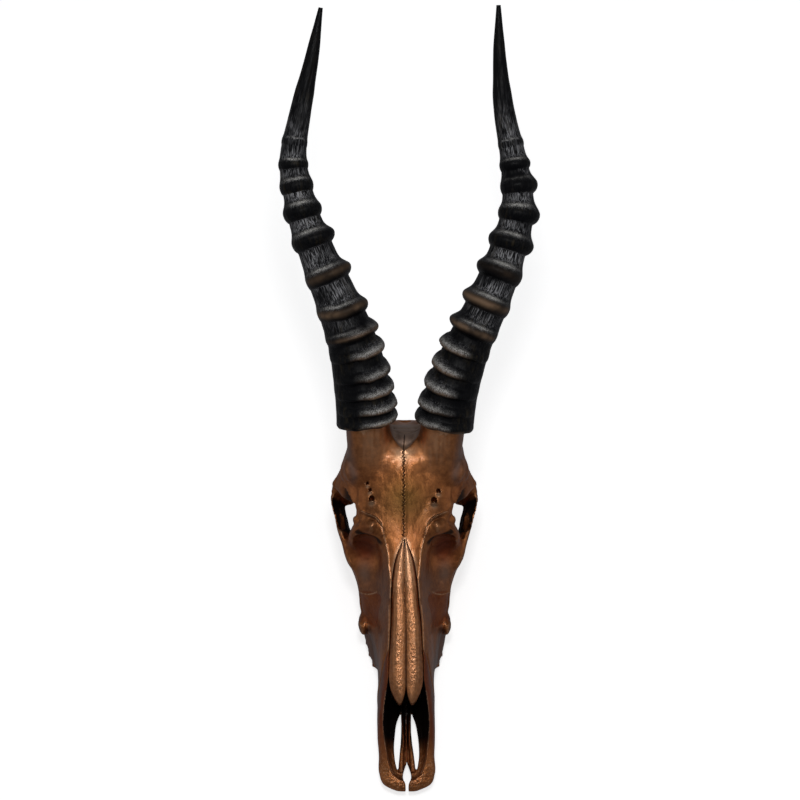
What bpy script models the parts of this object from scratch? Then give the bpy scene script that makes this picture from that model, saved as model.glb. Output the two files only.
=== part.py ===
"""Antelope skull: a life-size museum model of a blesbok's skull, without its lower jaw.

It lies on its cheek teeth and on the two processes beside its occiput, nose towards -Y,
horns rising behind towards +Y. +X is the right-hand side for somebody who faces the nose.
All sizes are in millimetres, measured from the tip of the muzzle on the midline of the
floor, and are turned into metres when a mesh is made.
"""

import math

import bmesh
import bpy
import numpy as np
from mathutils import Matrix, Vector

NAME = "antelope_skull"
MM = 0.001

# The middle of the whole object's box on the floor, in the sizes used below.
ORIGIN = (2.7, 265.15)

# Space left between two nodes that meet.
GAP = 0.3

# Fineness of the fused bone, and how many triangles the finished skull keeps.
VOXEL = 1.25
SKULL_TRIANGLES = 8700
MUZZLE_TRIANGLES = 2200

# Cross sections of the skull's body, from the tip of the muzzle to the occiput. Each has
# its place along the skull, then (half width, height) from the top of the midline round
# to the underside: top, dorsal edge, wall, hollow, bulge, cheek, side, tooth border, base.
BODY = (
    (1, (0, 12), (3, 12), (5, 12), (7, 11.5), (8, 10.5), (8, 9), (6.5, 7.5), (4, 7), (0, 7)),
    (5, (0, 14), (6, 14), (11, 13.5), (15, 12.5), (17, 11), (17, 9), (15, 7), (8, 6), (0, 6)),
    (14, (0, 17), (8, 17), (15, 16.5), (20, 14.5), (21.8, 12), (21.8, 9.5), (20, 7), (12, 6), (0, 6)),
    (30, (0, 26), (8, 26), (14, 25), (19.5, 21), (21.8, 17), (22.1, 13), (20.5, 9), (13, 7), (0, 7)),
    (45, (0, 34), (9, 34), (15, 32.5), (20.5, 28), (22.7, 22), (22.7, 16), (21, 11), (13, 8), (0, 8)),
    (60, (0, 44), (9, 44), (15, 42), (19.7, 37), (22.2, 30), (22.8, 23), (21.5, 15), (14, 9), (0, 10)),
    (75, (0, 55), (10, 54.5), (15, 50.5), (19.2, 43), (21.8, 35), (22.7, 28), (21.5, 17), (14, 10), (0, 11)),
    (88, (0, 62), (10, 61.5), (15, 57), (19, 48), (21, 39), (22, 31), (21.5, 19), (15, 11), (0, 12)),
    (108, (0, 71), (11, 70), (15.5, 64), (19, 54), (22, 43), (24, 33), (24, 20), (20, 12), (0, 14)),
    (128, (0, 80), (11, 79), (15, 71), (19, 59), (23, 46), (27, 35), (27.5, 22), (24, 13), (0, 16)),
    (148, (0, 88), (10.5, 86.6), (15, 79), (20, 65), (27.5, 54), (34.4, 41), (34.8, 26), (28, 14), (0, 18)),
    (166, (0, 94.9), (12, 93), (16.5, 85), (22, 69), (31, 60), (37.4, 50), (37.0, 34), (29, 15), (0, 19)),
    (176, (0, 98.1), (15, 96), (20, 88), (23, 73), (33, 65), (41.3, 54), (40, 38), (29, 16), (0, 20)),
    (186, (0, 101.6), (19, 99.8), (26, 93.5), (26, 77), (36.5, 67), (46, 58), (43, 43), (28, 20), (0, 21)),
    (199, (0, 107.8), (24, 105), (36, 100), (31, 86), (25, 71), (23, 56), (22, 44), (18, 30), (0, 28)),
    (217, (0, 117.4), (24, 112), (38, 105), (33, 92), (24, 76), (20, 60), (17, 48), (13, 37), (0, 33)),
    (234, (0, 123.9), (24, 118), (42, 110.5), (52.1, 98.5), (32, 82), (26, 64), (20, 48), (14, 38), (0, 34)),
    (248, (0, 126.6), (20, 122.6), (39.5, 116), (48.8, 105), (40, 88), (33, 66), (25, 48), (15, 37), (0, 34)),
    (260, (0, 123.2), (18, 121.4), (36.5, 116), (46, 103), (40, 88), (35, 66), (27, 48), (16, 36), (0, 33)),
    (272, (0, 114), (14, 112.4), (27, 107), (35, 96), (38, 82), (36, 66), (28, 48), (16, 36), (0, 32)),
    (285, (0, 95), (14, 94), (26, 89), (33, 81), (36, 70), (33, 58), (26, 46), (14, 35), (0, 31)),
    (296, (0, 76), (10, 75), (18, 72), (23, 66), (24, 58), (21, 50), (16, 42), (10, 35), (0, 32)),
)

# Bony bars and plates of one side: the line that each follows, then its half width, its
# half height and its lean outwards in degrees at each point of the line. The broad ones
# are melted into the body, the slender ones are added to it afterwards.
BROAD_BARS = {
    "cheek_ridge": (
        ((27.5, 134, 30), (30, 146, 29), (31, 163, 40), (37, 178, 52), (44.5, 190, 59)),
        ((3, 5, 0), (4, 6, 0), (5, 8, 0), (5, 9, 5), (5, 9, 15)),
    ),
    "pedicle": (
        ((26, 232, 98), (27, 246, 111), (29, 259, 124), (31.5, 275, 141)),
        ((17, 18, 0), (18.6, 18, 0), (18.1, 18, 0), (17.4, 17.5, 0)),
    ),
    "lacrimal_flange": (
        ((22, 188, 98), (30, 192, 94), (35, 195, 88), (38, 194, 77), (41, 191, 64)),
        ((7, 7, 0), (6, 6, 0), (5.5, 6, 0), (5.5, 6, 0), (6, 7, 0)),
    ),
    "tooth_border": (
        ((16.5, 103, 13), (21.3, 111, 13), (24, 122, 14), (26.2, 136, 15), (27.9, 160, 16), (27.5, 190, 20)),
        ((4.5, 6, 0), (5.5, 6, 0), (6.5, 7, 0), (7.4, 7, 0), (8.2, 7, 0), (8, 8, 0)),
    ),
}
SLENDER_BARS = {
    "zygomatic": (
        ((36.8, 172, 50), (43, 182, 54), (46, 195, 57), (49.2, 210, 58), (53.2, 224, 61), (54, 236, 66)),
        ((2, 4, 0), (3.5, 8, 10), (3.6, 10, 20), (3.9, 11, 27), (3, 11, 30), (3, 10, 25)),
    ),
    "zygomatic_arch": (
        ((53, 230, 63), (52, 243, 68), (47, 256, 70), (38, 268, 70), (30, 274, 70)),
        ((3, 6, 10), (3, 5, 10), (3, 4, 0), (4, 4, 0), (6, 5, 0)),
    ),
    "postorbital_bar": (
        ((50, 231, 57), (50.3, 234, 68), (49.2, 235.5, 78), (46.5, 237, 90), (42, 238, 103)),
        ((9.5, 3, 0), (10, 3, 0), (9.5, 3, 0), (7.5, 3.5, 0), (7, 6, 0)),
    ),
    "orbit_roof": (
        ((42, 236, 102), (40, 226, 102), (37, 216, 100), (34.5, 205, 97), (34.5, 197, 90)),
        ((5, 4, 0), (4, 3, 0), (4, 3, 0), (4, 4, 0), (4, 5, 0)),
    ),
    "pterygoid": (
        ((11, 186, 26), (12, 198, 26), (13, 212, 30), (14, 226, 38)),
        ((2.5, 9, 0), (2.2, 10, 0), (2.2, 10, 0), (3, 7, 0)),
    ),
    "paracondylar": (
        ((25, 285, 52), (27.5, 286, 34), (28.5, 284, 17), (27, 281, -3)),
        ((4, 9, 0), (3.5, 8, 0), (3, 6, 0), (2.5, 4, 0)),
    ),
    "ear_tube": (
        ((22, 264, 46), (32, 265, 49), (40, 266, 52)),
        ((6, 6, 0), (5, 5, 0), (4.5, 4.5, 0)),
    ),
    "nuchal_crest": (
        ((0, 290, 85), (14, 290, 83), (26, 287, 75), (32, 283, 63), (33, 278, 52)),
        ((3, 3.5, 0), (3, 3.5, 0), (3, 3.5, 0), (3, 3.5, 0), (4, 4, 0)),
    ),
}

# Rounded masses of one side: centre, then half sizes.
BROAD_MASSES = {
    "braincase": ((14, 262, 84), (25, 28, 31)),
    "lacrimal_wall": ((31, 190, 75), (14, 9, 22)),
    "brow": ((28, 238, 105.5), (21.5, 20, 12.5)),
    "brow_web": ((8, 245, 112), (19, 18, 13.5)),
}
SLENDER_MASSES = {
    "bulla": ((19, 255, 36), (9, 13, 13)),
    "condyle": ((13, 294, 44), (8, 8, 11)),
    "facial_tubercle": ((32.4, 138.5, 26), (5, 6.5, 6)),
    "lacrimal_knob": ((37.5, 199, 91), (4, 4, 4)),
    "lacrimal_knob_low": ((39, 193, 84), (3, 3, 4)),
    "lacrimal_knob_inner": ((32.5, 199, 98), (4, 3, 3)),
}

# Base of the braincase on the midline, from the choanae to the foramen magnum.
SKULL_BASE = (
    ((0, 205, 36), (0, 230, 38), (0, 260, 36), (0, 284, 38), (0, 294, 40)),
    ((8, 6, 0), (9, 6, 0), (12, 6, 0), (14, 7, 0), (12, 6, 0)),
)

# Hollows of one side, taken away: centre, half sizes, and lean about the long axis.
ORBIT = ((44, 215, 80), (22, 19.5, 19.5), 24)
ORBIT_DEPTH = ((35, 216, 66), (13, 15, 24), 0)
FOSSA = ((36, 174, 78), (13, 12, 13), 0)
FOSSA_ROOF = ((33, 180, 86), (12.5, 7.5, 9), 20)
CHEEK_HOLLOW = ((40, 146, 68), (15, 26, 20), 0)

# The brow's thin shelf over one orbit: across, front edge (along, height), rear edge (along,
# height) and half thickness.
FLANGE = (
    (38, 208, 98.5, 246, 117, 2.0),
    (42, 210.5, 97, 251, 112, 2.0),
    (45.5, 214, 94.8, 252, 107, 1.9),
    (49.5, 219, 91.5, 247, 99.5, 1.8),
    (53.6, 227, 87, 242, 89.5, 1.7),
    (57.9, 234.6, 81.2, 238.4, 80.8, 1.4),
)

# Palatine process of one side: a low wall on the floor of the nose, as a bar.
PROCESS = (
    ((4.8, 16, 11), (4.3, 24, 12.5), (3.3, 38, 13.5), (2.6, 52, 14), (2.4, 68, 14.5)),
    ((2.2, 3, 0), (2, 3, 0), (1.5, 2.8, 0), (1.1, 2.6, 0), (0.9, 2.4, 0)),
)

# Nasal cavity and choanae: place, half width, floor and roof.
CAVITY = (
    (8, 5, 13, 22),
    (11, 10.5, 12, 28),
    (18, 14.3, 11.3, 38),
    (26, 16.2, 11.3, 46),
    (36, 17.4, 12, 54),
    (50, 17.8, 12.5, 62),
    (60, 17.0, 13.2, 68),
    (69, 15.4, 13.8, 70),
    (77, 13.8, 14.5, 68),
    (90, 12.2, 17, 64),
    (106, 9, 24, 58),
    (118, 4, 34, 48),
)
CHOANAE = (
    (184, 4, 22, 30),
    (196, 8, 12, 33),
    (212, 9, 10, 34),
    (224, 7, 10, 32),
)

# Palatine fissure of one side, seen from above: (inner edge, outer edge, place).
FISSURE = ((6.8, 7.8, 18.5), (6.1, 9.2, 26), (4.7, 9.9, 37.5), (4, 8.9, 49), (3.7, 7, 60), (2.9, 4, 67))
MUZZLE_NOTCH = ((0.3, 25), (1.5, 22), (3.1, 16.5), (3.3, 12), (2.4, 8.5), (1.2, 5.5), (1.2, -4))

# Foramen magnum: middle of the drill, radius and depth.
FORAMEN_MAGNUM = ((0, 306, 54), 9, 44)

# Foramina above the orbits: across, along, height and radius.
FORAMINA_LEFT = ((-25.9, 208.6, 111, 2.1), (-27.2, 215.2, 113, 1.4))
FORAMINA_RIGHT = ((23.5, 207.2, 111, 2.1), (27, 214.6, 113, 1.6))

# Cheek teeth of one side, front to back: (across, middle, length, width).
TEETH = (
    (21.7, 113, 8.6, 11.2),
    (23.6, 122.5, 9.8, 12.6),
    (25.4, 133, 10.6, 13.2),
    (26.7, 146, 14.8, 14.0),
    (27.6, 162, 16.0, 14.2),
    (28.0, 178.5, 16.0, 13.2),
)
TOOTH_TOP = 17

# Nasal bones: place, inner edge, outer edge and height of the midline.
NASAL = (
    (59, 3.6, 5.6, 49.4),
    (61, 2.5, 7.5, 51.0),
    (65, 1.1, 9.8, 53.4),
    (69, 0.5, 11.6, 55.4),
    (74, 0.2, 12.9, 57.8),
    (88, 0.15, 13.3, 63.6),
    (108, 0.15, 12.6, 72.0),
    (130, 0.15, 11.2, 81.2),
    (150, 0.15, 9.6, 89.3),
    (164, 0.15, 6.6, 94.9),
    (177, 0.15, 1.0, 99.3),
)
NASAL_DEPTH = 4.5
NASAL_DROP = 5.8

# The muzzle bones part from the skull along a plane that leans back as it rises.
MUZZLE_SPLIT = ((66, 0), (90, 62))

# Horns: the line from inside the pedicle to the tip, with the radius at each point.
HORN_LEFT = (
    (-29.5, 258.6, 122.8, 23.7),
    (-31.0, 267.0, 132.0, 23.5),
    (-33.8, 284.0, 149.0, 22.2),
    (-40.1, 308.3, 170.0, 20.0),
    (-53.1, 338.5, 193.0, 17.2),
    (-69.2, 369.5, 214.5, 14.4),
    (-81.9, 401.0, 235.0, 12.4),
    (-88.0, 433.0, 255.6, 10.6),
    (-82.0, 463.5, 277.0, 8.3),
    (-73.7, 494.0, 300.5, 5.7),
    (-66.1, 526.0, 326.5, 1.7),
)
HORN_RIGHT = (
    (29.9, 258.6, 122.8, 22.6),
    (32.3, 267.0, 132.0, 22.2),
    (37.0, 284.0, 149.0, 20.7),
    (48.1, 308.3, 170.0, 18.1),
    (64.9, 338.5, 193.0, 16.3),
    (79.8, 369.5, 214.5, 14.5),
    (88.4, 401.0, 235.0, 12.7),
    (84.6, 433.0, 255.6, 10.4),
    (77.3, 463.5, 277.0, 8.1),
    (73.8, 494.0, 300.5, 5.4),
    (72.6, 527.5, 327.8, 1.7),
)

# Distance of each sheath's lower edge from the start of its horn's line.
SHEATH_LEFT = 11.0
SHEATH_RIGHT = 9.0

# Ridges: distance from the start of the line, height inside, height outside, half length.
RIDGES_LEFT = (
    (15.8, 2.0, 0.0, 4.0),
    (27.2, 3.3, 0.0, 5.0),
    (39.8, 3.4, 0.0, 5.2),
    (53.8, 3.4, 0.0, 5.8),
    (70.4, 4.0, 0.4, 5.8),
    (84.6, 4.8, 0.6, 5.6),
    (103.4, 4.8, 1.2, 7.0),
    (133.4, 5.6, 1.4, 7.6),
    (163.8, 5.4, 2.6, 8.0),
    (187.2, 3.2, 3.0, 8.0),
    (207.3, 1.8, 1.8, 6.6),
    (224.2, 1.0, 1.2, 4.8),
    (242.0, 0.5, 0.6, 4.0),
)
RIDGES_RIGHT = (
    (14.0, 3.2, 0.0, 5.0),
    (27.6, 3.5, 0.0, 5.2),
    (42.9, 3.6, 0.0, 5.8),
    (57.9, 3.6, 0.0, 5.8),
    (73.4, 4.6, 0.4, 5.8),
    (91.0, 5.6, 0.8, 6.2),
    (113.4, 5.4, 2.0, 7.4),
    (139.4, 5.0, 2.4, 8.0),
    (163.7, 4.0, 4.6, 8.0),
    (187.0, 2.4, 5.0, 8.0),
    (208.8, 1.8, 4.4, 7.4),
    (225.4, 1.2, 2.2, 5.2),
    (242.0, 0.5, 0.8, 4.0),
)
HORN_SIDES = 18


def spline(places, values, samples):
    """Values at the samples of a smooth curve through values given at places."""
    places = np.asarray(places, float)
    values = np.asarray(values, float)
    samples = np.clip(samples, places[0], places[-1])
    slopes = np.gradient(values, places, axis=0)
    at = np.clip(np.searchsorted(places, samples, side="right") - 1, 0, len(places) - 2)
    step = places[at + 1] - places[at]
    t = (samples - places[at]) / step
    shape = (-1,) + (1,) * (values.ndim - 1)
    t, step = t.reshape(shape), step.reshape(shape)
    start = values[at] * (2 * t**3 - 3 * t**2 + 1) + slopes[at] * step * (t**3 - 2 * t**2 + t)
    end = values[at + 1] * (3 * t**2 - 2 * t**3) + slopes[at + 1] * step * (t**3 - t**2)
    return start + end


def along(points):
    """Distance of each point of a line from its first point."""
    points = np.asarray(points, float)
    steps = np.linalg.norm(np.diff(points, axis=0), axis=1)
    return np.concatenate(([0.0], np.cumsum(steps)))


def make_object(name, points, faces, home):
    """An object in a collection, from points in millimetres."""
    mesh = bpy.data.meshes.new(name)
    mesh.from_pydata([Vector(p) * MM for p in points], [], faces)
    mesh.update()
    made = bpy.data.objects.new(name, mesh)
    home.objects.link(made)
    outward(made)
    return made


def outward(made):
    """Turns every face of a closed mesh to face outwards."""
    work = bmesh.new()
    work.from_mesh(made.data)
    bmesh.ops.recalc_face_normals(work, faces=work.faces)
    work.to_mesh(made.data)
    work.free()


def loft(name, rings, home):
    """A closed skin through rings that all have the same number of points."""
    sides = len(rings[0])
    points = [p for ring in rings for p in ring]
    faces = []
    for lower in range(0, (len(rings) - 1) * sides, sides):
        for side in range(sides):
            after = (side + 1) % sides
            upper = lower + sides
            faces.append((lower + side, lower + after, upper + after, upper + side))
    faces.append(tuple(range(sides))[::-1])
    faces.append(tuple(range(len(points) - sides, len(points))))
    return make_object(name, points, faces, home)


def bar(name, line, sizes, home, sides=16):
    """A rounded bar along a line, with its own half sizes and lean at each point."""
    line = np.asarray(line, float)
    lengths = along(line)
    samples = np.linspace(0, lengths[-1], max(6, int(lengths[-1] / 2.5)))
    centres = spline(lengths, line, samples)
    halves = spline(lengths, np.asarray(sizes, float), samples)
    turns = np.linspace(0, 2 * math.pi, sides, endpoint=False)
    ways = np.gradient(centres, axis=0)
    chord = line[-1] - line[0]
    upright = abs(chord[2]) > 0.75 * np.linalg.norm(chord)
    rings = []
    for centre, (wide, tall, lean), way in zip(centres, halves, ways):
        way = way / np.linalg.norm(way)
        flat = np.cross(way, (0, -1, 0) if upright else (0, 0, 1))
        flat = flat / np.linalg.norm(flat)
        up = np.cross(flat, way)
        turn = math.radians(lean)
        flat, up = math.cos(turn) * flat - math.sin(turn) * up, math.cos(turn) * up + math.sin(turn) * flat
        rings.append([centre + wide * math.cos(a) * flat + tall * math.sin(a) * up for a in turns])
    return loft(name, rings, home)


def ball(name, centre, halves, home, lean=0.0):
    """A rounded mass from a sphere, leaning by some degrees about the long axis."""
    bpy.ops.mesh.primitive_uv_sphere_add(segments=32, ring_count=20, radius=MM)
    made = bpy.context.active_object
    move(made, name, home)
    turn = Matrix.Rotation(math.radians(lean), 4, "Y")
    made.data.transform(Matrix.Translation(Vector(centre) * MM) @ turn @ Matrix.Diagonal((*halves, 1)))
    return made


def block(name, low, high, home):
    """A box between two corners."""
    bpy.ops.mesh.primitive_cube_add(size=1)
    made = bpy.context.active_object
    move(made, name, home)
    low, high = Vector(low) * MM, Vector(high) * MM
    made.data.transform(Matrix.Translation((low + high) / 2) @ Matrix.Diagonal((*(high - low), 1)))
    return made


def drill(name, foot, way, radius, depth, home):
    """A round cutter that starts at a point and goes along a direction."""
    bpy.ops.mesh.primitive_cylinder_add(vertices=24, radius=radius * MM, depth=depth * MM)
    made = bpy.context.active_object
    move(made, name, home)
    turn = Vector(way).to_track_quat("Z", "Y").to_matrix().to_4x4()
    made.data.transform(Matrix.Translation(Vector(foot) * MM) @ turn)
    return made


def move(made, name, home):
    """Gives a new object its name and its only collection."""
    made.name = name
    made.data.name = name
    for other in list(made.users_collection):
        other.objects.unlink(made)
    home.objects.link(made)


def only(made):
    """Makes one object the active and only selected one."""
    bpy.ops.object.select_all(action="DESELECT")
    made.select_set(True)
    bpy.context.view_layer.objects.active = made


def apply(made, kind, **values):
    """Adds a modifier with its values and applies it."""
    only(made)
    modifier = made.modifiers.new(kind.lower(), kind)
    for key, value in values.items():
        setattr(modifier, key, value)
    bpy.ops.object.modifier_apply(modifier=modifier.name)


def join(name, pieces):
    """One object from several."""
    only(pieces[0])
    for piece in pieces:
        piece.select_set(True)
    bpy.ops.object.join()
    made = bpy.context.active_object
    made.name = name
    made.data.name = name
    return made


def take(made, cutters, how="DIFFERENCE"):
    """Cuts one mesh with others, one after the other."""
    for cutter in cutters:
        apply(made, "BOOLEAN", object=cutter, operation=how, solver="EXACT")


def copy(made, name):
    """A separate object with its own copy of the mesh."""
    twin = made.copy()
    twin.data = made.data.copy()
    twin.name = name
    twin.data.name = name
    made.users_collection[0].objects.link(twin)
    return twin


def thin(made, triangles):
    """Brings a mesh down to a number of triangles."""
    apply(made, "TRIANGULATE")
    now = len(made.data.polygons)
    if now > triangles:
        apply(made, "DECIMATE", ratio=triangles / now, use_collapse_triangulate=True)


def largest(made):
    """Keeps the largest closed surface of a mesh and tidies its edges."""
    work = bmesh.new()
    work.from_mesh(made.data)
    bmesh.ops.remove_doubles(work, verts=work.verts, dist=2e-6)
    bmesh.ops.dissolve_degenerate(work, edges=work.edges, dist=2e-6)
    left = set(work.faces)
    islands = []
    while left:
        first = left.pop()
        island = {first}
        edge_of = [first]
        while edge_of:
            for side in edge_of.pop().edges:
                for other in side.link_faces:
                    if other in left:
                        left.discard(other)
                        island.add(other)
                        edge_of.append(other)
        islands.append(island)
    islands.sort(key=lambda island: sum(face.calc_area() for face in island))
    spare = [face for island in islands[:-1] for face in island]
    bmesh.ops.delete(work, geom=spare, context="FACES")
    bmesh.ops.triangulate(work, faces=work.faces)
    bmesh.ops.recalc_face_normals(work, faces=work.faces)
    work.to_mesh(made.data)
    work.free()


def body_loft(home):
    """The main mass of the skull, from its cross sections."""
    places = [section[0] for section in BODY]
    halves = np.array([section[1:] for section in BODY], float)
    stations = np.arange(places[0], places[-1] + 1, 3.0)
    stations[-1] = places[-1]
    corners = np.arange(halves.shape[1])
    fine = np.linspace(0, corners[-1], 33)
    rings = []
    for place, section in zip(stations, spline(places, halves, stations)):
        half = spline(corners, section, fine)
        right = [(max(x, 0.0), place, z) for x, z in half]
        left = [(-x, place, z) for x, _, z in right[-2:0:-1]]
        rings.append(right + left)
    return loft("body", rings, home)


def both_sides(name, pieces):
    """Joins the pieces of one side and mirrors them."""
    half = join(name, pieces)
    apply(half, "MIRROR", use_mirror_merge=False)
    return half


def fused_bone(home):
    """The whole skull in one skin: broad masses melted together, then the slender ones."""
    broad = [bar(name, *shape, home) for name, shape in BROAD_BARS.items()]
    broad += [ball(name, *shape, home) for name, shape in BROAD_MASSES.items()]
    skull = join("skull", [body_loft(home), both_sides("broad", broad)])
    apply(skull, "REMESH", mode="VOXEL", voxel_size=1.6 * MM)
    apply(skull, "SMOOTH", factor=0.5, iterations=14)

    slender = [bar(name, *shape, home) for name, shape in SLENDER_BARS.items()]
    slender += [ball(name, *shape, home) for name, shape in SLENDER_MASSES.items()]
    for number, (across, middle, length, width) in enumerate(TEETH):
        low = (across - width / 2, middle - length / 2 + 0.6, -3)
        high = (across + width / 2, middle + length / 2 - 0.6, TOOTH_TOP)
        tooth = block(f"tooth_{number}", low, high, home)
        apply(tooth, "BEVEL", width=2.8 * MM, segments=3)
        slender.append(tooth)
    base = bar("skull_base", *SKULL_BASE, home)
    skull = join("skull", [skull, base, both_sides("slender", slender)])
    apply(skull, "REMESH", mode="VOXEL", voxel_size=VOXEL * MM)
    return skull


def chamber(name, sections, home):
    """A cutter with upright rounded sections along the skull."""
    place, *rest = np.array(sections, float).T
    fine = np.linspace(place[0], place[-1], 24)
    turns = np.linspace(0, 2 * math.pi, 28, endpoint=False)
    rings = []
    for station, (wide, floor, roof) in zip(fine, spline(place, np.stack(rest, axis=1), fine)):
        middle, tall = (floor + roof) / 2, (roof - floor) / 2
        ring = []
        for turn in turns:
            across, up = math.cos(turn), math.sin(turn)
            across = math.copysign(abs(across) ** 0.7, across)
            up = math.copysign(abs(up) ** 0.7, up)
            ring.append((wide * across, station, middle + tall * up))
        rings.append(ring)
    return loft(name, rings, home)


def foramen_drills(home):
    """Short drills for the foramina above the orbits, square to the brow."""
    drills = []
    for word, holes in (("left", FORAMINA_LEFT), ("right", FORAMINA_RIGHT)):
        for number, (across, place, height, radius) in enumerate(holes):
            foot = (across, place, height)
            name = f"foramen_{word}_{number}"
            drills.append(drill(name, foot, (0.1 * math.copysign(1, across), -0.37, 0.93), radius, 12, home))
    return drills


def plate_through(name, rim, low, high, home):
    """A cutter with a drawn outline seen from above."""
    outline = [(x, y, 0) for x, y in rim]
    rings = [[(x, y, low) for x, y, _ in outline], [(x, y, high) for x, y, _ in outline]]
    return loft(name, rings, home)


def fissure_rim(side):
    """Outline of one palatine fissure, smooth between its named widths."""
    inner, outer, place = np.array(FISSURE, float).T
    fine = np.linspace(place[0], place[-1], 15)
    within = [(side * x, y) for x, y in zip(spline(place, inner, fine), fine)]
    without = [(side * x, y) for x, y in zip(spline(place, outer, fine), fine)]
    return within + without[::-1]


def hollow_cutters(home):
    """Everything taken out of the fused bone before it is smoothed."""
    cutters = []
    for side, word in ((-1, "left"), (1, "right")):
        for name, ((x, y, z), halves, lean) in (
            ("orbit", ORBIT),
            ("orbit_depth", ORBIT_DEPTH),
            ("fossa", FOSSA),
            ("fossa_roof", FOSSA_ROOF),
            ("cheek_hollow", CHEEK_HOLLOW),
        ):
            cutters.append(ball(f"{name}_{word}", (side * x, y, z), halves, home, side * lean))
        cutters.append(plate_through(f"fissure_{word}", fissure_rim(side), -5, 30, home))
    notch = [(x, y) for x, y in MUZZLE_NOTCH]
    notch += [(-x, y) for x, y in MUZZLE_NOTCH[::-1]]
    cutters.append(plate_through("muzzle_notch", notch, -5, 40, home))
    cutters.append(chamber("nasal_cavity", CAVITY, home))
    cutters.append(chamber("choanae", CHOANAE, home))
    centre, radius, depth = FORAMEN_MAGNUM
    cutters.append(drill("foramen_magnum", centre, (0, 1, -0.2), radius, depth, home))
    return cutters


def orbit_flange(home):
    """The thin shelf over one orbit, which ends in the orbit's rim."""
    place, *rest = np.array(FLANGE, float).T
    fine = np.linspace(place[0], place[-1], 12)
    turns = np.linspace(0, 2 * math.pi, 16, endpoint=False)
    rings = []
    for x, (y0, z0, y1, z1, thick) in zip(fine, spline(place, np.stack(rest, axis=1), fine)):
        middle = np.array((x, (y0 + y1) / 2, (z0 + z1) / 2))
        half = np.array((0, (y1 - y0) / 2, (z1 - z0) / 2))
        rise = np.array((0.4, -0.2, 0.9)) * thick
        rings.append([middle + math.cos(a) * half + math.sin(a) * rise for a in turns])
    return loft("orbit_flange", rings, home)


def nasal_loft(name, side, home, grown=0.0):
    """One nasal bone, or with side 0 the room that both need in the skull."""
    place, inner, outer, height = np.array(NASAL, float).T
    fine = np.concatenate((np.linspace(place[0], 66, 6), np.linspace(70, place[-1], 22)))
    edges = spline(place, np.stack((inner, outer, height), axis=1), fine)
    if grown:
        fine[0] -= 6
        fine[-1] += grown
    across = np.linspace(0, 1, 7)
    rings = []
    for station, (near, far, top) in zip(fine, edges):
        far += grown
        low = top - NASAL_DEPTH - grown
        x = near + (far - near) * across if side else far * (2 * across - 1)
        fall = NASAL_DROP * (np.abs(x) / max(far, 4)) ** 2 * (far / 13.6)
        crown = top - fall - 0.7 * (1 - across) ** 8
        crown = np.full(7, top + 12.0) if grown else crown
        base = low - 0.8 * fall
        over = [(x[i] * (side or 1), station, crown[i]) for i in range(7)]
        under = [(x[i] * (side or 1), station, base[i]) for i in range(6, -1, -1)]
        rings.append(over + under)
    return loft(name, rings, home)


def muzzle_room(name, shift, home):
    """Everything in front of the plane where the muzzle bones end, moved back by a shift."""
    (near, low), (far, high) = MUZZLE_SPLIT
    slope = (far - near) / (high - low)
    bottom, top = near - 20 * slope + shift, near + 120 * slope + shift
    outline = ((-30, -20), (bottom, -20), (top, 120), (-30, 120))
    return loft(name, [[(x, y, z) for y, z in outline] for x in (-60, 60)], home)


def horn_frames(line):
    """Smooth line of a horn with its radius, and its directions, at any distances."""
    knots = np.asarray(line, float)
    lengths = along(knots[:, :3])

    def at(distances):
        values = spline(lengths, knots, distances)
        ahead = spline(lengths, knots[:, :3], np.asarray(distances) + 0.5)
        behind = spline(lengths, knots[:, :3], np.asarray(distances) - 0.5)
        ways = ahead - behind
        return values[:, :3], values[:, 3], ways / np.linalg.norm(ways, axis=1)[:, None]

    return at, lengths[-1]


def horn_sheath(name, line, start, ridges, side, home):
    """A horn's sheath with its ridges, strong in front and inside, weak behind."""
    at, length = horn_frames(line)
    marks = [start]
    for middle, _, _, half in ridges:
        marks += [middle - half, middle - 0.35 * half, middle + 0.35 * half, middle + half]
    marks += list(np.linspace(marks[-1] + 12, length - 4, 9)) + [length]
    marks = np.array([m for m in sorted(marks) if m >= start])
    marks = marks[np.concatenate(([True], np.diff(marks) > 1.2))]
    centres, radii, ways = at(marks)
    turns = np.linspace(0, 2 * math.pi, HORN_SIDES, endpoint=False)
    rings = []
    for mark, centre, radius, way in zip(marks, centres, radii, ways):
        inward = np.array((-side, 0.0, 0.0))
        inward = inward - way * np.dot(inward, way)
        inward = inward / np.linalg.norm(inward)
        front = np.cross(way, inward) * side
        if front[2] < 0:
            front = -front
        inside, outside = 0.0, 0.0
        for middle, high, low, half in ridges:
            t = min(abs(mark - middle) / half, 1.0)
            inside += high * (1 - t * t) ** 2
            outside += low * (1 - t * t) ** 2
        ring = []
        for turn in turns:
            near = (0.5 + 0.5 * math.cos(turn - 0.75)) ** 0.8
            far = (0.5 - 0.5 * math.cos(turn)) ** 1.5
            fade = 1 - 0.75 * max(0.0, -math.sin(turn))
            r = radius + (inside * near + outside * far) * fade
            ring.append(centre + r * (math.cos(turn) * inward + math.sin(turn) * front))
        rings.append(ring)
    return loft(name, rings, home)


def horn_room(name, line, start, home):
    """A drum over the plane where a horn's sheath meets its pedicle."""
    at, _ = horn_frames(line)
    centres, _, ways = at(np.array([start - GAP]))
    bpy.ops.mesh.primitive_cylinder_add(vertices=32, radius=40 * MM, depth=60 * MM)
    made = bpy.context.active_object
    move(made, name, home)
    turn = Vector(ways[0]).to_track_quat("Z", "Y").to_matrix().to_4x4()
    middle = Vector(centres[0]) * MM + Vector(ways[0]) * 30 * MM
    made.data.transform(Matrix.Translation(middle) @ turn)
    return made


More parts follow.
